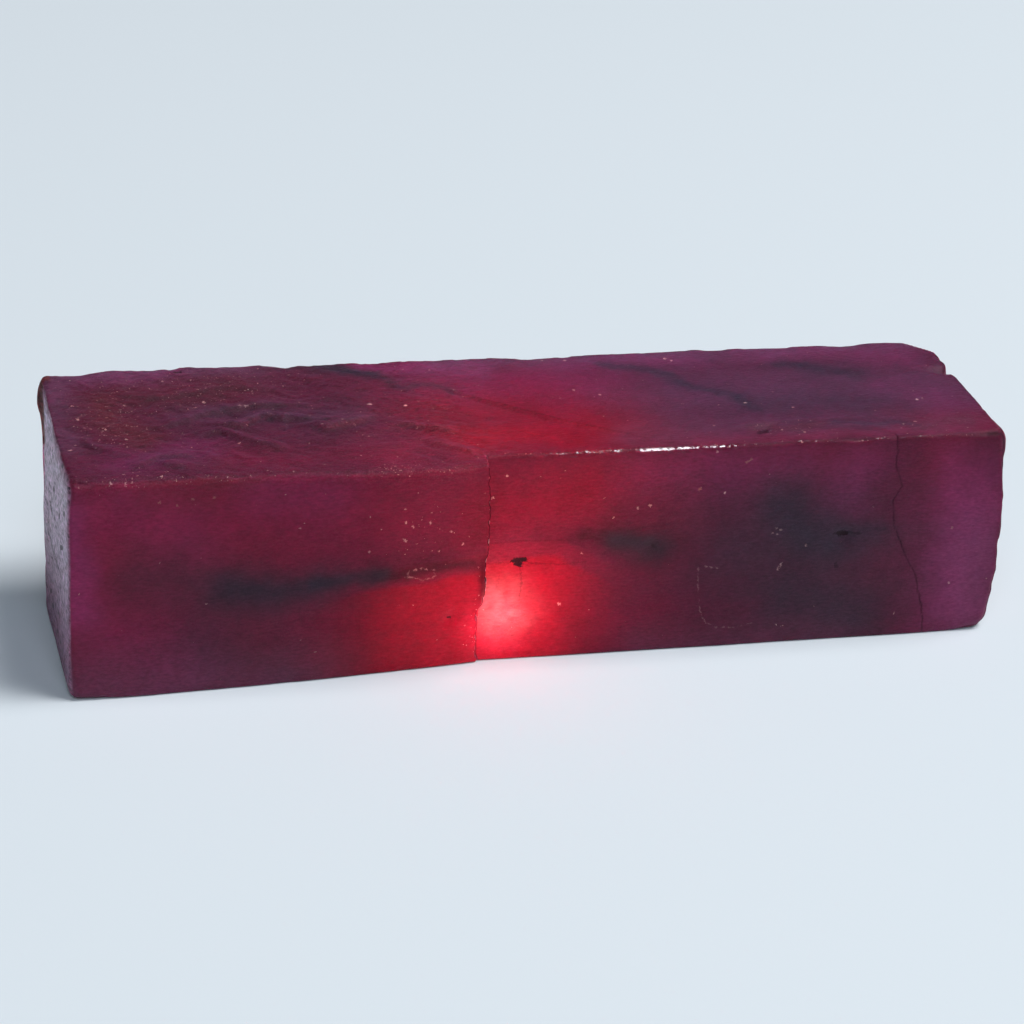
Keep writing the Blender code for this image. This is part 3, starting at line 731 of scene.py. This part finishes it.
# Where pale specks lie thick on the top, as streaks.
SPECK_FIELDS = (
    (0.85, 2.6, (-45.5, 3), (-44, -2)), (0.35, 5, (-40, 4), (-30, 6)),
    (0.9, 0.5, (-42.8, -11.5), (-42, -11.8)), (0.9, 0.4, (-40.6, -12.6), (-39.4, -12.8)),
    (0.7, 0.4, (-48.3, -11), (-47.9, -11)), (0.75, 0.5, (-47.6, -3.2), (-46.9, -3.6)),
    (0.6, 0.5, (-41, 2.2), (-40.1, 1.9)),
    (0.35, 0.6, (-46, -13.6), (-30, -13.8), (-22, -13.9), (-10, -14.2)),
    (0.75, 0.8, (-17.5, -13.6), (-14.5, -13.8)), (0.6, 1.2, (23, -8.9), (30, -8.5)),
    (0.3, 0.5, (-6, -12.2), (46, -12.2)), (0.35, 1.6, (40, -9.5), (46, -9)),
)


def speck_share(points, normals):
    """How many pale specks lie round each point, from 0 to 1."""
    x, y, z = points.T
    top = facing(normals[:, 2], 0.1, 0.4)
    scattered = 0.004 + 0.07 * top * smooth(-x / 20.0) + 0.01 * top
    beside_crack = 0.10 * bump((x - CRACK_X + 0.4) / 0.6)
    beside_crack += 0.25 * bump((x + 13.5) / 3.0) * bump((z - 16.0) / 3.5)
    flaky = 0.8 * bump((x - CRACK_X + 0.7) / 0.7) * bump((z - 4.2) / 2.2)
    on_front = (1.0 - top) * (-normals[:, 1] > 0.3) * (beside_crack + flaky)
    return np.clip(scattered + top * streaks(x, y, SPECK_FIELDS) + on_front, 0.0, 1.0)


# Cloudy ruby, the stone's finish. Light soaks into it and comes back red, its surface has the dull
# shine of a sawn stone, and pale grit is stuck in the rough places.
CLOUDY_SURFACE = {
    "IOR": 1.76,
    "Specular IOR Level": 0.06,
    "Coat Roughness": 0.18,
    "Subsurface Weight": 1.0,
    "Subsurface Radius": (1.3, 0.30, 0.45),
    "Subsurface Scale": MM,
}
PALE_SPECK = (0.62, 0.34, 0.36, 1)
WARM_SPECK = (0.33, 0.13, 0.125, 1)
FROST = (0.72, 0.7, 0.78, 1)
# Dust and painted glints: a pale tint laid on in fine grain.
GLINT_AND_DUST = (0.3, 0.22, 0.27, 1)
POCK_COLOUR = (0.02, 0.01, 0.018, 1)
SPECK_SHAKE = 0.6
# Noise in the finish: its size in millimetres, its detail and how it is drawn out along each axis.
THREADS = (0.9, 6, (0.35, 1, 1))
FIBRES = (0.22, 5, (0.35, 1, 1))
GLINT_AND_DUST_GRAIN = (0.15, 3)
END_GRAIN = (0.40, 4, (1, 0.35, 0.9))
GRAIN = (0.35, 5, (0.6, 1, 1))
GRIT_TINT = (1.7, 1)
SCRATCH_BREAKS = (0.5, 3)
PATCHES = (1.6, 4)
BEADS = (0.26, 2)
GRAIN_HEIGHT = 0.14
# Marks too fine for the grid, by the side that they are on and their tint. Each mark: its strength, its
# half width and its places, across and up for the front and the left end, along and back for the top.
# One place is a speck. More are a scratch through them all, broken unless it is dark or black.
MARKS = (
    ("front", "pale", (
        (0.9, 0.13, (19.1, 18.4)), (0.45, 0.1, (9.7, 17.1)), (0.55, 0.11, (11, 17.3)),
        (0.45, 0.11, (28.8, 11.6)), (0.55, 0.11, (45.8, 6.1)), (0.5, 0.12, (17.8, 23.2)),
        (0.6, 0.11, (3.9, 12.2)), (0.6, 0.13, (1.9, 6.3)), (0.75, 0.13, (-4.7, 21.6)),
        (0.75, 0.12, (-6.1, 19.2)), (0.6, 0.11, (-15.8, 19.4)), (0.7, 0.12, (-15.6, 17.8)),
        (0.55, 0.11, (-14.8, 17.3)), (0.6, 0.11, (-13, 17.6)), (0.55, 0.1, (-10.7, 16.5)),
        (0.75, 0.12, (-9.4, 14.8)), (0.5, 0.1, (-11.9, 14.2)), (0.45, 0.1, (-15.8, 15.9)),
        (0.45, 0.1, (-26.7, 17.9)), (0.45, 0.1, (-19.3, 14.7)),
        (0.2, 0.06, (16.9, 9.8), (17.2, 6.7), (17.6, 4.4), (18.3, 3.1), (19.5, 2.4)),
        (0.16, 0.06, (19.5, 2.4), (21.8, 2.3), (23.6, 2.7)), (0.3, 0.08, (17.7, 9.8), (19.1, 9.5)),
        (0.55, 0.1, (25.9, 8.9), (26.3, 9.7)), (0.4, 0.09, (24.9, 13.3)), (0.35, 0.08, (25.2, 13.9)),
        (0.4, 0.09, (25.7, 13.7)), (0.4, 0.1, (25.4, 13.2)),
        (0.4, 0.09, (-15.2, 11.5), (-14.8, 12.1), (-13.4, 12.3)),
        (0.4, 0.09, (-13.4, 12.3), (-12.2, 12), (-12, 11.3)),
        (0.3, 0.08, (-15.2, 11.5), (-13.3, 10.9), (-12, 11.3)), (0.6, 0.13, (-45.8, 23.6)),
        (0.6, 0.13, (-44.3, 23.5)),
    )),
    ("front", "warm", (
        (0.7, 0.16, (16.3, 19)), (0.7, 0.13, (21.2, 21.8), (21.7, 22.2)), (0.6, 0.14, (-40.9, 21.4)),
        (0.6, 0.13, (-39.1, 21), (-38.7, 21)), (0.55, 0.13, (-37.6, 21.6)),
        (0.55, 0.13, (-35.4, 21.7)),
    )),
    ("front", "dark", (
        (0.34, 0.07, (-2.6, 11), (-2.4, 9.4), (-2.5, 7)),
        (0.26, 0.05, (-4.8, 10.1), (-5.1, 8.9), (-4.4, 8.1), (-3.4, 8.3)),
        (0.22, 0.05, (-4.4, 8.1), (-3.8, 7.1)),
        (0.28, 0.08, (-6.4, 13.8), (-2.9, 14), (2.3, 13.8), (4.5, 12.7)),
        (0.32, 0.08, (-6.2, 11.5), (-2.8, 11.5), (-1.5, 11.3), (1.6, 11), (4.6, 11.1)),
    )),
    ("front", "black", (
        (0.95, 0.28, (-3.4, 11.6), (-2.1, 11.7)), (0.95, 0.3, (-3, 11.3), (-2.6, 11.1)),
        (0.85, 0.16, (-10.3, 6), (-10.2, 5.9)), (0.85, 0.3, (32.5, 12.75), (33.3, 12.7)),
        (0.45, 0.16, (31.9, 12.8), (34.7, 12.7)), (0.45, 0.2, (32.4, 9.2), (32.5, 8.9)),
        (0.4, 0.18, (11.7, 12.5), (12, 12.3)),
    )),
    ("left end", "black", (
        (0.6, 0.21, (4.8, 11.9), (3.6, 9.9), (-2, 10), (-8.5, 10.5)),
        (0.85, 0.3, (-0.7, 17), (-1.9, 17.6)), (0.85, 0.3, (-6.1, 16.5), (-7.3, 17.1)),
        (0.8, 0.27, (-9.7, 18.5), (-10.9, 19.1)), (0.75, 0.27, (-7.7, 13.7), (-8.9, 14.3)),
        (0.85, 0.3, (-0.8, 3.5), (-2, 4.1)), (0.7, 0.24, (1.2, 4.1), (0.2, 4.7)),
        (0.6, 0.24, (-4.2, 2.2), (-5.2, 2.8)), (0.6, 0.24, (6.2, 18.8), (5.2, 19.4)),
        (0.55, 0.21, (-5.3, 20.7), (-6.3, 21.1)), (0.8, 0.45, (10.6, 17), (10.2, 17.6)),
    )),
    ("left end", "frost", (
        (0.6, 0.3, (-3.2, 21.4), (-6.5, 20.9), (-10.4, 20.2)),
    )),
    ("top", "pale", (
        (0.9, 0.16, (18.5, 10.1)), (0.8, 0.14, (19.1, 9.6)), (0.7, 0.14, (6.3, 3.1)),
        (0.6, 0.14, (8.8, 1.7)), (0.8, 0.15, (24, -2.1)), (0.7, 0.13, (28.9, -3.7)),
        (0.9, 0.16, (43.3, -3.1)), (0.7, 0.15, (4.8, 11.1)), (0.6, 0.15, (7.3, 10.9)),
        (0.85, 0.17, (-16.4, 1.6)), (0.95, 0.2, (-12.7, 0.9)), (0.85, 0.13, (-35.6, 12)),
        (0.6, 0.1, (-30.3, 1.8), (-28.6, 2.1)),
    )),
    ("top", "black", (
        (0.85, 0.28, (-35.7, 10.5), (-35.2, 10.8)), (0.6, 0.35, (23.3, -9.6), (24.2, -9)),
    )),
    # The dark line along the crease is painted shade on the step of the crease.
    ("top", "dark", (
        (0.36, 0.1, (-5, 2.7), (-0.1, -1.4), (2.9, -3.9), (6.6, -6.4), (11, -9.5)),
    )),
)
MARK_SOFTNESS = 0.12
# A mark lies on its own side of the stone only: distances out of that side count for this share, and
# the front's is smallest, because its left part stands up to 3 mm proud.
OUT_OF_FRONT = 0.02
OUT_OF_OTHERS = 0.15


def set_sockets(node, values):
    """Gives a node's sockets their values."""
    for name, value in values.items():
        node.inputs[name].default_value = value


def new_material(name, surface):
    """A material made of one Principled shader with the given values, and that shader."""
    material = bpy.data.materials.new(name)
    material.use_nodes = True
    shader = material.node_tree.nodes["Principled BSDF"]
    set_sockets(shader, surface)
    return material, shader


def cloudy_ruby(middle):
    """Principled stone: painted colour, mottled by noise, with specks, uneven roughness and bump.

    The marks' places are shifted by middle, as the stone's points are.
    """
    material, shader = new_material("cloudy_ruby", CLOUDY_SURFACE)
    join = material.node_tree.links.new

    def add(kind, **settings):
        node = material.node_tree.nodes.new("ShaderNode" + kind)
        for name, value in settings.items():
            if name in node.inputs:
                node.inputs[name].default_value = value
            else:
                setattr(node, name, value)
        return node

    def painted(name):
        return add("Attribute", attribute_name=name).outputs["Fac"]

    place = add("TexCoord").outputs["Object"]
    colour = add("Attribute", attribute_name="stone_colour").outputs["Color"]
    dark, rough, shine, specks, pocked = map(painted, ("dark", "rough", "shine", "specks", "pocked"))

    def noise(size, detail, stretch=None):
        texture = add("TexNoise", Scale=1.0 / (size * MM), Detail=detail, Roughness=0.6)
        source = place
        if stretch:
            mapping = add("Mapping", Scale=stretch)
            join(place, mapping.inputs["Vector"])
            source = mapping.outputs["Vector"]
        join(source, texture.inputs["Vector"])
        return texture.outputs["Fac"]

    def math(operation, first, second=0.0, third=0.0):
        node = add("Math", operation=operation)
        for socket, value in zip(node.inputs, (first, second, third)):
            if isinstance(value, (int, float)):
                socket.default_value = value
            else:
                join(value, socket)
        return node.outputs[0]

    def kept_in_range(value):
        node = add("Clamp")
        join(value, node.inputs["Value"])
        return node.outputs["Result"]

    def vector(operation, first, second):
        node = add("VectorMath", operation=operation)
        join(first, node.inputs[0])
        if isinstance(second, (tuple, Vector)):
            node.inputs[1].default_value = second
        else:
            join(second, node.inputs[1])
        return node.outputs["Value" if operation in ("DISTANCE", "DOT_PRODUCT") else "Vector"]

    def mix(share, first, second, blend="MIX"):
        node = add("Mix", data_type="RGBA", blend_type=blend)
        for name, value in (("Factor_Float", share), ("A_Color", first), ("B_Color", second)):
            socket = next(s for s in node.inputs if s.identifier == name)
            if isinstance(value, (float, tuple)):
                socket.default_value = value
            else:
                join(value, socket)
        return next(s for s in node.outputs if s.identifier == "Result_Color")

    # Fine threads along the bar and mottling, stronger where the stone is rough.
    tone = math("MULTIPLY_ADD", noise(*THREADS), 0.40, 0.80)
    fibre_depth = math("MULTIPLY_ADD", rough, 0.7, 1.10)
    fibre_tone = math("MULTIPLY_ADD", math("SUBTRACT", noise(*FIBRES), 0.5), fibre_depth, 1.0)
    toned = mix(1.0, colour, math("MULTIPLY", tone, fibre_tone), "MULTIPLY")

    # Pale grain that stands for dust and for painted glints of sheen on tiny facets, and coarse grain drawn
    # out across the left end.
    glint_and_dust_depth = math("MULTIPLY_ADD", rough, 0.34, 0.11)
    glint_and_dust = math("MULTIPLY", math("SUBTRACT", noise(*GLINT_AND_DUST_GRAIN), 0.42), glint_and_dust_depth)
    toned = mix(kept_in_range(glint_and_dust), toned, GLINT_AND_DUST)
    end_depth = math("MULTIPLY", pocked, 3.8)
    end_tone = math("MULTIPLY_ADD", math("SUBTRACT", noise(*END_GRAIN), 0.50), end_depth, 1.0)
    toned = mix(1.0, toned, math("MAXIMUM", end_tone, 0.15), "MULTIPLY")

    # Specks of grit: ragged balls round random places, kept where their random number is low enough.
    # Their size and strength vary too.
    shaken = add("TexNoise", Scale=1.0 / (0.25 * MM), Detail=2.0)
    join(place, shaken.inputs["Vector"])
    centred = vector("SUBTRACT", shaken.outputs["Color"], (0.5, 0.5, 0.5))
    ragged = vector("ADD", place, vector("MULTIPLY", centred, (SPECK_SHAKE * MM,) * 3))

    def speck_layer(cell, smallest, spread, share, stretch=(1.0, 1.0, 1.0)):
        cells = add("TexVoronoi", Scale=1.0 / (cell * MM), Randomness=1.0)
        join(vector("MULTIPLY", ragged, stretch), cells.inputs["Vector"])
        parted = add("SeparateColor")
        join(cells.outputs["Color"], parted.inputs["Color"])
        radius = math("MULTIPLY_ADD", parted.outputs["Green"], spread, smallest)
        kept = math("LESS_THAN", parted.outputs["Red"], share)
        near = math("MULTIPLY", math("LESS_THAN", cells.outputs["Distance"], radius), kept)
        return math("MULTIPLY", near, math("MULTIPLY_ADD", parted.outputs["Blue"], 0.7, 0.25))

    speck = math("MAXIMUM", speck_layer(0.32, 0.08, 0.20, specks), speck_layer(1.15, 0.05, 0.13, specks))
    grit = mix(noise(*GRIT_TINT), WARM_SPECK, PALE_SPECK)
    specked = mix(speck, toned, grit)

    # The left end is pocked: dark little pits that the saw drew out across the end.
    pock = speck_layer(0.7, 0.12, 0.24, math("MULTIPLY", pocked, 0.30), (1.0, 0.18, 0.9))
    specked = mix(pock, specked, POCK_COLOUR)

    # The single marks, by their distance from a place or from the straight runs between places.
    def in_metres(side, across, up):
        spots = {
            "front": (across, -DEPTH / 2, up),
            "top": (across, up, HEIGHT),
            "left end": (-LENGTH / 2, across, up),
        }
        spot = (Vector(spots[side]) - Vector(middle)) * MM
        return Vector(a * b for a, b in zip(spot, flatten[side]))

    def distance_from_run(spot, start, end):
        offset = vector("SUBTRACT", spot, start)
        run = end - start
        share = kept_in_range(vector("DOT_PRODUCT", offset, run / run.length_squared))
        nearest = add("VectorMath", operation="SCALE")
        nearest.inputs[0].default_value = run
        join(share, nearest.inputs["Scale"])
        return vector("DISTANCE", offset, nearest.outputs["Vector"])

    flatten = {
        "front": (1.0, OUT_OF_FRONT, 1.0),
        "top": (1.0, 1.0, OUT_OF_OTHERS),
        "left end": (OUT_OF_OTHERS, 1.0, 1.0),
    }
    flat_place = {side: vector("MULTIPLY", ragged, scale) for side, scale in flatten.items()}
    black = BLACK + (1.0,)
    tints = {"pale": PALE_SPECK, "warm": WARM_SPECK, "frost": FROST, "dark": black, "black": black}
    shares = {tint: 0.0 for tint in tints}
    broken = kept_in_range(math("MULTIPLY_ADD", noise(*SCRATCH_BREAKS), 7.0, -3.1))
    for side, tint, marks in MARKS:
        for strength, half_width, *line in marks:
            spots = [in_metres(side, *spot) for spot in line]
            if len(spots) == 1:
                gap = vector("DISTANCE", flat_place[side], spots[0])
            else:
                gap = distance_from_run(flat_place[side], *spots[:2])
            for start, end in zip(spots[1:], spots[2:]):
                gap = math("MINIMUM", gap, distance_from_run(flat_place[side], start, end))
            falloff = -strength / (MARK_SOFTNESS * MM)
            in_middle = strength * (0.5 + half_width / MARK_SOFTNESS)
            share = math("MINIMUM", math("MULTIPLY_ADD", gap, falloff, in_middle), strength)
            if len(spots) > 1 and tint not in ("dark", "black"):
                share = math("MULTIPLY", share, broken)
            shares[tint] = math("MAXIMUM", shares[tint], share)
    for tint, share in shares.items():
        specked = mix(share, specked, tints[tint])
    # The dark share blackens the hairline and paints shade into the crack, on its lip and on edges in shade.
    blackened = mix(dark, specked, black)
    join(blackened, shader.inputs["Base Color"])

    # Rough and dark places and the worn edge scatter light more widely than the sawn faces.
    sawn = math("MULTIPLY_ADD", noise(*PATCHES), 0.20, 0.30)
    duller = math("MULTIPLY_ADD", dark, 0.5, math("MULTIPLY_ADD", rough, 0.25, sawn))
    duller = math("MULTIPLY_ADD", shine, 1.5, duller)
    join(kept_in_range(duller), shader.inputs["Roughness"])

    # The polish on the front top edge, worn through to beads where it is weak.
    beads = math("SUBTRACT", noise(*BEADS), 0.68)
    polish = math("MULTIPLY", math("MULTIPLY_ADD", shine, 0.45, beads), 8.0)
    polished = math("MULTIPLY", kept_in_range(polish), kept_in_range(math("MULTIPLY", shine, 6.0)))
    join(polished, shader.inputs["Coat Weight"])

    # Grain too fine for the mesh, deeper in the rough places, with the specks standing up a little.
    height = math("MULTIPLY", noise(*GRAIN), math("MULTIPLY_ADD", rough, 0.9, 0.50))
    height = math("ADD", height, math("MULTIPLY", speck, 0.4))
    height = math("SUBTRACT", height, math("MULTIPLY", pock, 0.6))
    relief = add("Bump", Strength=0.8, Distance=GRAIN_HEIGHT * MM)
    join(height, relief.inputs["Height"])
    join(relief.outputs["Normal"], shader.inputs["Normal"])
    return material


# The ruby itself, one solid piece of stone. The grid is closed on a point at each end and lies flat
# below, and the colours and shares worked out above are painted onto its points.
def grid_faces():
    """Quads between neighbouring rows and columns, and a fan of triangles round each end's point."""
    rows = ROWS_ALONG + 2 * ROWS_ON_END
    index = np.arange(rows * COLUMNS_ROUND).reshape(rows, COLUMNS_ROUND)
    beside = np.roll(index, -1, axis=1)
    quads = np.stack((index[:-1], index[1:], beside[1:], beside[:-1]), axis=-1).reshape(-1, 4)
    left_point = np.full(COLUMNS_ROUND, rows * COLUMNS_ROUND)
    left_fan = np.stack((left_point, index[0], beside[0]), axis=-1)
    right_fan = np.stack((left_point + 1, beside[-1], index[-1]), axis=-1)
    return quads, np.concatenate((left_fan, right_fan))


def put_in_scene(name, data):
    """A new object with this mesh, light or camera."""
    thing = bpy.data.objects.new(name, data)
    bpy.context.scene.collection.objects.link(thing)
    return thing


def make_stone():
    """Shapes the grid, paints its attributes and puts it into the scene."""
    block_points = block_grid()
    points = main_form(block_points)
    middle = (points.min(axis=0) + points.max(axis=0)) / 2
    middle[2] = 0.0
    normals = grid_normals(points, outward_directions(block_points))
    height = fine_relief(points, block_points, normals) - HAIRLINE_DEPTH * hairline_share(points)
    fine = points + height[:, None] * normals
    flat = points[:, 2] < ON_FLOOR
    fine = bevel_edge(fine)
    fine[flat] = points[flat]
    fine[:, 2] = np.maximum(fine[:, 2], 0.0)
    placed = (fine - middle) * MM
    mesh = bpy.data.meshes.new("ruby_bar")
    mesh.from_pydata(placed.tolist(), [], [face for part in grid_faces() for face in part.tolist()])
    paint = {
        "dark": dark_and_shade_share(points, block_points),
        "rough": rough_share(points, normals),
        "shine": shine_share(points),
        "specks": speck_share(points, normals),
        "pocked": on_left_end(normals),
    }
    for name, values in paint.items():
        mesh.attributes.new(name, "FLOAT", "POINT").data.foreach_set("value", values)
    colour = np.clip(stone_colour(points, normals, grid_normals(fine, normals)), 0.0, 1.0)
    colour = np.column_stack((colour, np.ones(len(points))))
    mesh.attributes.new("stone_colour", "FLOAT_COLOR", "POINT").data.foreach_set("color", colour.ravel())
    mesh.shade_smooth()
    mesh.materials.append(cloudy_ruby(middle))
    return put_in_scene("ruby_bar", mesh)


stone = make_stone()
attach(stone, "root")
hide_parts("rough_ruby")

# The floor. A wide matt sheet, pale bluish white and plain, that the stone rests on with its flat
# underside, so that its colour and its soft shadow stand out.
FLOOR_SIZE = 6.0
FLOOR_SURFACE = {
    "Base Color": (0.695, 0.78, 0.838, 1.0),
    "Roughness": 0.9,
    "Specular IOR Level": 0.1,
}


def make_floor():
    """A square sheet at the height that the stone rests on."""
    half = FLOOR_SIZE / 2
    mesh = bpy.data.meshes.new("floor")
    corners = ((-half, -half, 0.0), (half, -half, 0.0), (half, half, 0.0), (-half, half, 0.0))
    mesh.from_pydata(corners, [], ((0, 1, 2, 3),))
    mesh.materials.append(new_material("pale_sheet", FLOOR_SURFACE)[0])
    return put_in_scene("floor", mesh)


make_floor()

# The lights: a weak sky, one large soft lamp to the right, a second that fills in from the front, and a
# small one overhead that gives the polished edge its shine.
STONE_MIDDLE = Vector((0.0, 0.0, 0.012))
SKY = {"Color": (0.80, 0.86, 1.0, 1.0), "Strength": 0.05}
# Each lamp: its direction from the stone, its distance and its two sides in metres, power and colour.
LAMPS = {
    "soft_lamp": ((0.459, -0.10, 0.848), 1.9, (0.85, 1.3), 35.5, (1.0, 0.965, 0.95)),
    "fill_lamp": ((-0.15, -0.70, 0.70), 2.2, (1.2, 1.2), 17.5, (0.86, 0.93, 1.0)),
    "edge_lamp": ((0.30, -0.42, 0.86), 2.0, (0.35, 0.12), 10.0, (0.92, 0.93, 1.0)),
}


def new_lamp(name, kind, place, aim, power, colour):
    """A lamp of a kind at a place, facing its aim."""
    light = bpy.data.lights.new(name, kind)
    light.energy = power
    light.color = colour
    lamp = put_in_scene(name, light)
    lamp.location = place
    lamp.rotation_euler = (place - aim).to_track_quat("Z", "Y").to_euler()
    return lamp


def area_lamp(name, direction, distance, size, power, colour):
    """An oblong lamp at a distance from the stone, along a direction, facing the stone."""
    place = STONE_MIDDLE + distance * Vector(direction).normalized()
    lamp = new_lamp(name, "AREA", place, STONE_MIDDLE, power, colour)
    lamp.data.shape = "RECTANGLE"
    lamp.data.size, lamp.data.size_y = size
    return lamp


world = bpy.data.worlds.new("soft_sky")
world.use_nodes = True
set_sockets(world.node_tree.nodes["Background"], SKY)
bpy.context.scene.world = world
for name, settings in LAMPS.items():
    area_lamp(name, *settings)
# The edge lamp shows in the shine alone and lights nothing else.
bpy.data.objects["edge_lamp"].visible_diffuse = False

# The glow. Light that has passed through the stone leaves it red round the crack. Soft round beams
# that light the stone alone stand for it, each from a place and onto a place in millimetres.
GLOW_RED = (1.0, 0.35, 0.25)
GLOW_WHITE = (1.0, 1.0, 0.8)
BEAM_RADIUS = 0.002


def glow_beam(name, place, aim, width, power, colour):
    """A soft round beam from a place to a point on the stone, width across there, with no gloss."""
    start = Vector(place) * MM
    end = Vector(aim) * MM
    lamp = new_lamp(name, "SPOT", start, end, power, colour)
    lamp.data.spot_blend = 1.0
    lamp.data.spot_size = 2.0 * np.arctan(width / 2 * MM / (end - start).length)
    lamp.data.shadow_soft_size = BEAM_RADIUS
    lamp.visible_glossy = False
    lamp.light_linking.receiver_collection = lit_by_glow


lit_by_glow = bpy.data.collections.new("lit_by_glow")
lit_by_glow.objects.link(stone)
GLOW_BEAMS = (
    ("glow_core", (30, -110, 25), (-5, -10.8, 4.8), 8.5, 2.1, GLOW_WHITE),
    ("glow_round", (30, -110, 25), (-4, -10.8, 5.2), 13, 0.6, GLOW_RED),
    ("glow_right", (30, -110, 25), (-3.2, -10.8, 6), 23, 0.45, GLOW_RED),
    ("glow_left", (-40, -120, 20), (-9.5, -12.4, 5), 24, 0.46, GLOW_RED),
    ("glow_ceiling", (10, -120, 20), (-3.2, -10.8, 10.8), 12, 0.3, GLOW_RED),
    ("glow_above", (10, -120, 30), (-2, -10.8, 18), 42, 0.53, GLOW_RED),
    ("glow_top", (0, -40, 120), (-1.5, -8, 24), 46, 0.3, GLOW_RED),
)
for beam in GLOW_BEAMS:
    glow_beam(*beam)

# The camera. It stands left of the front and looks down on the bar, turned a little on its own axis,
# far enough away for the bar's long edges to run almost parallel.
YAW = np.radians(15.46)
PITCH = np.radians(25.82)
ROLL = np.radians(3.89)
LENS = 116.0
CAMERA_DISTANCE = 0.356
CAMERA_TARGET = Vector((-0.951, 1.589, 11.2)) * MM


def make_camera():
    """A camera whose axes are worked out from its yaw, pitch and roll."""
    forward = Vector((np.sin(YAW) * np.cos(PITCH), np.cos(YAW) * np.cos(PITCH), -np.sin(PITCH)))
    level = Vector((np.cos(YAW), -np.sin(YAW), 0.0))
    upright = level.cross(forward)
    right = np.cos(ROLL) * level + np.sin(ROLL) * upright
    above = np.cos(ROLL) * upright - np.sin(ROLL) * level
    camera = put_in_scene("camera", bpy.data.cameras.new("camera"))
    camera.data.lens = LENS
    axes = Matrix((right, above, -forward)).transposed()
    camera.matrix_world = Matrix.Translation(CAMERA_TARGET - CAMERA_DISTANCE * forward) @ axes.to_4x4()
    bpy.context.scene.camera = camera


make_camera()
bpy.context.scene.view_settings.view_transform = "Standard"
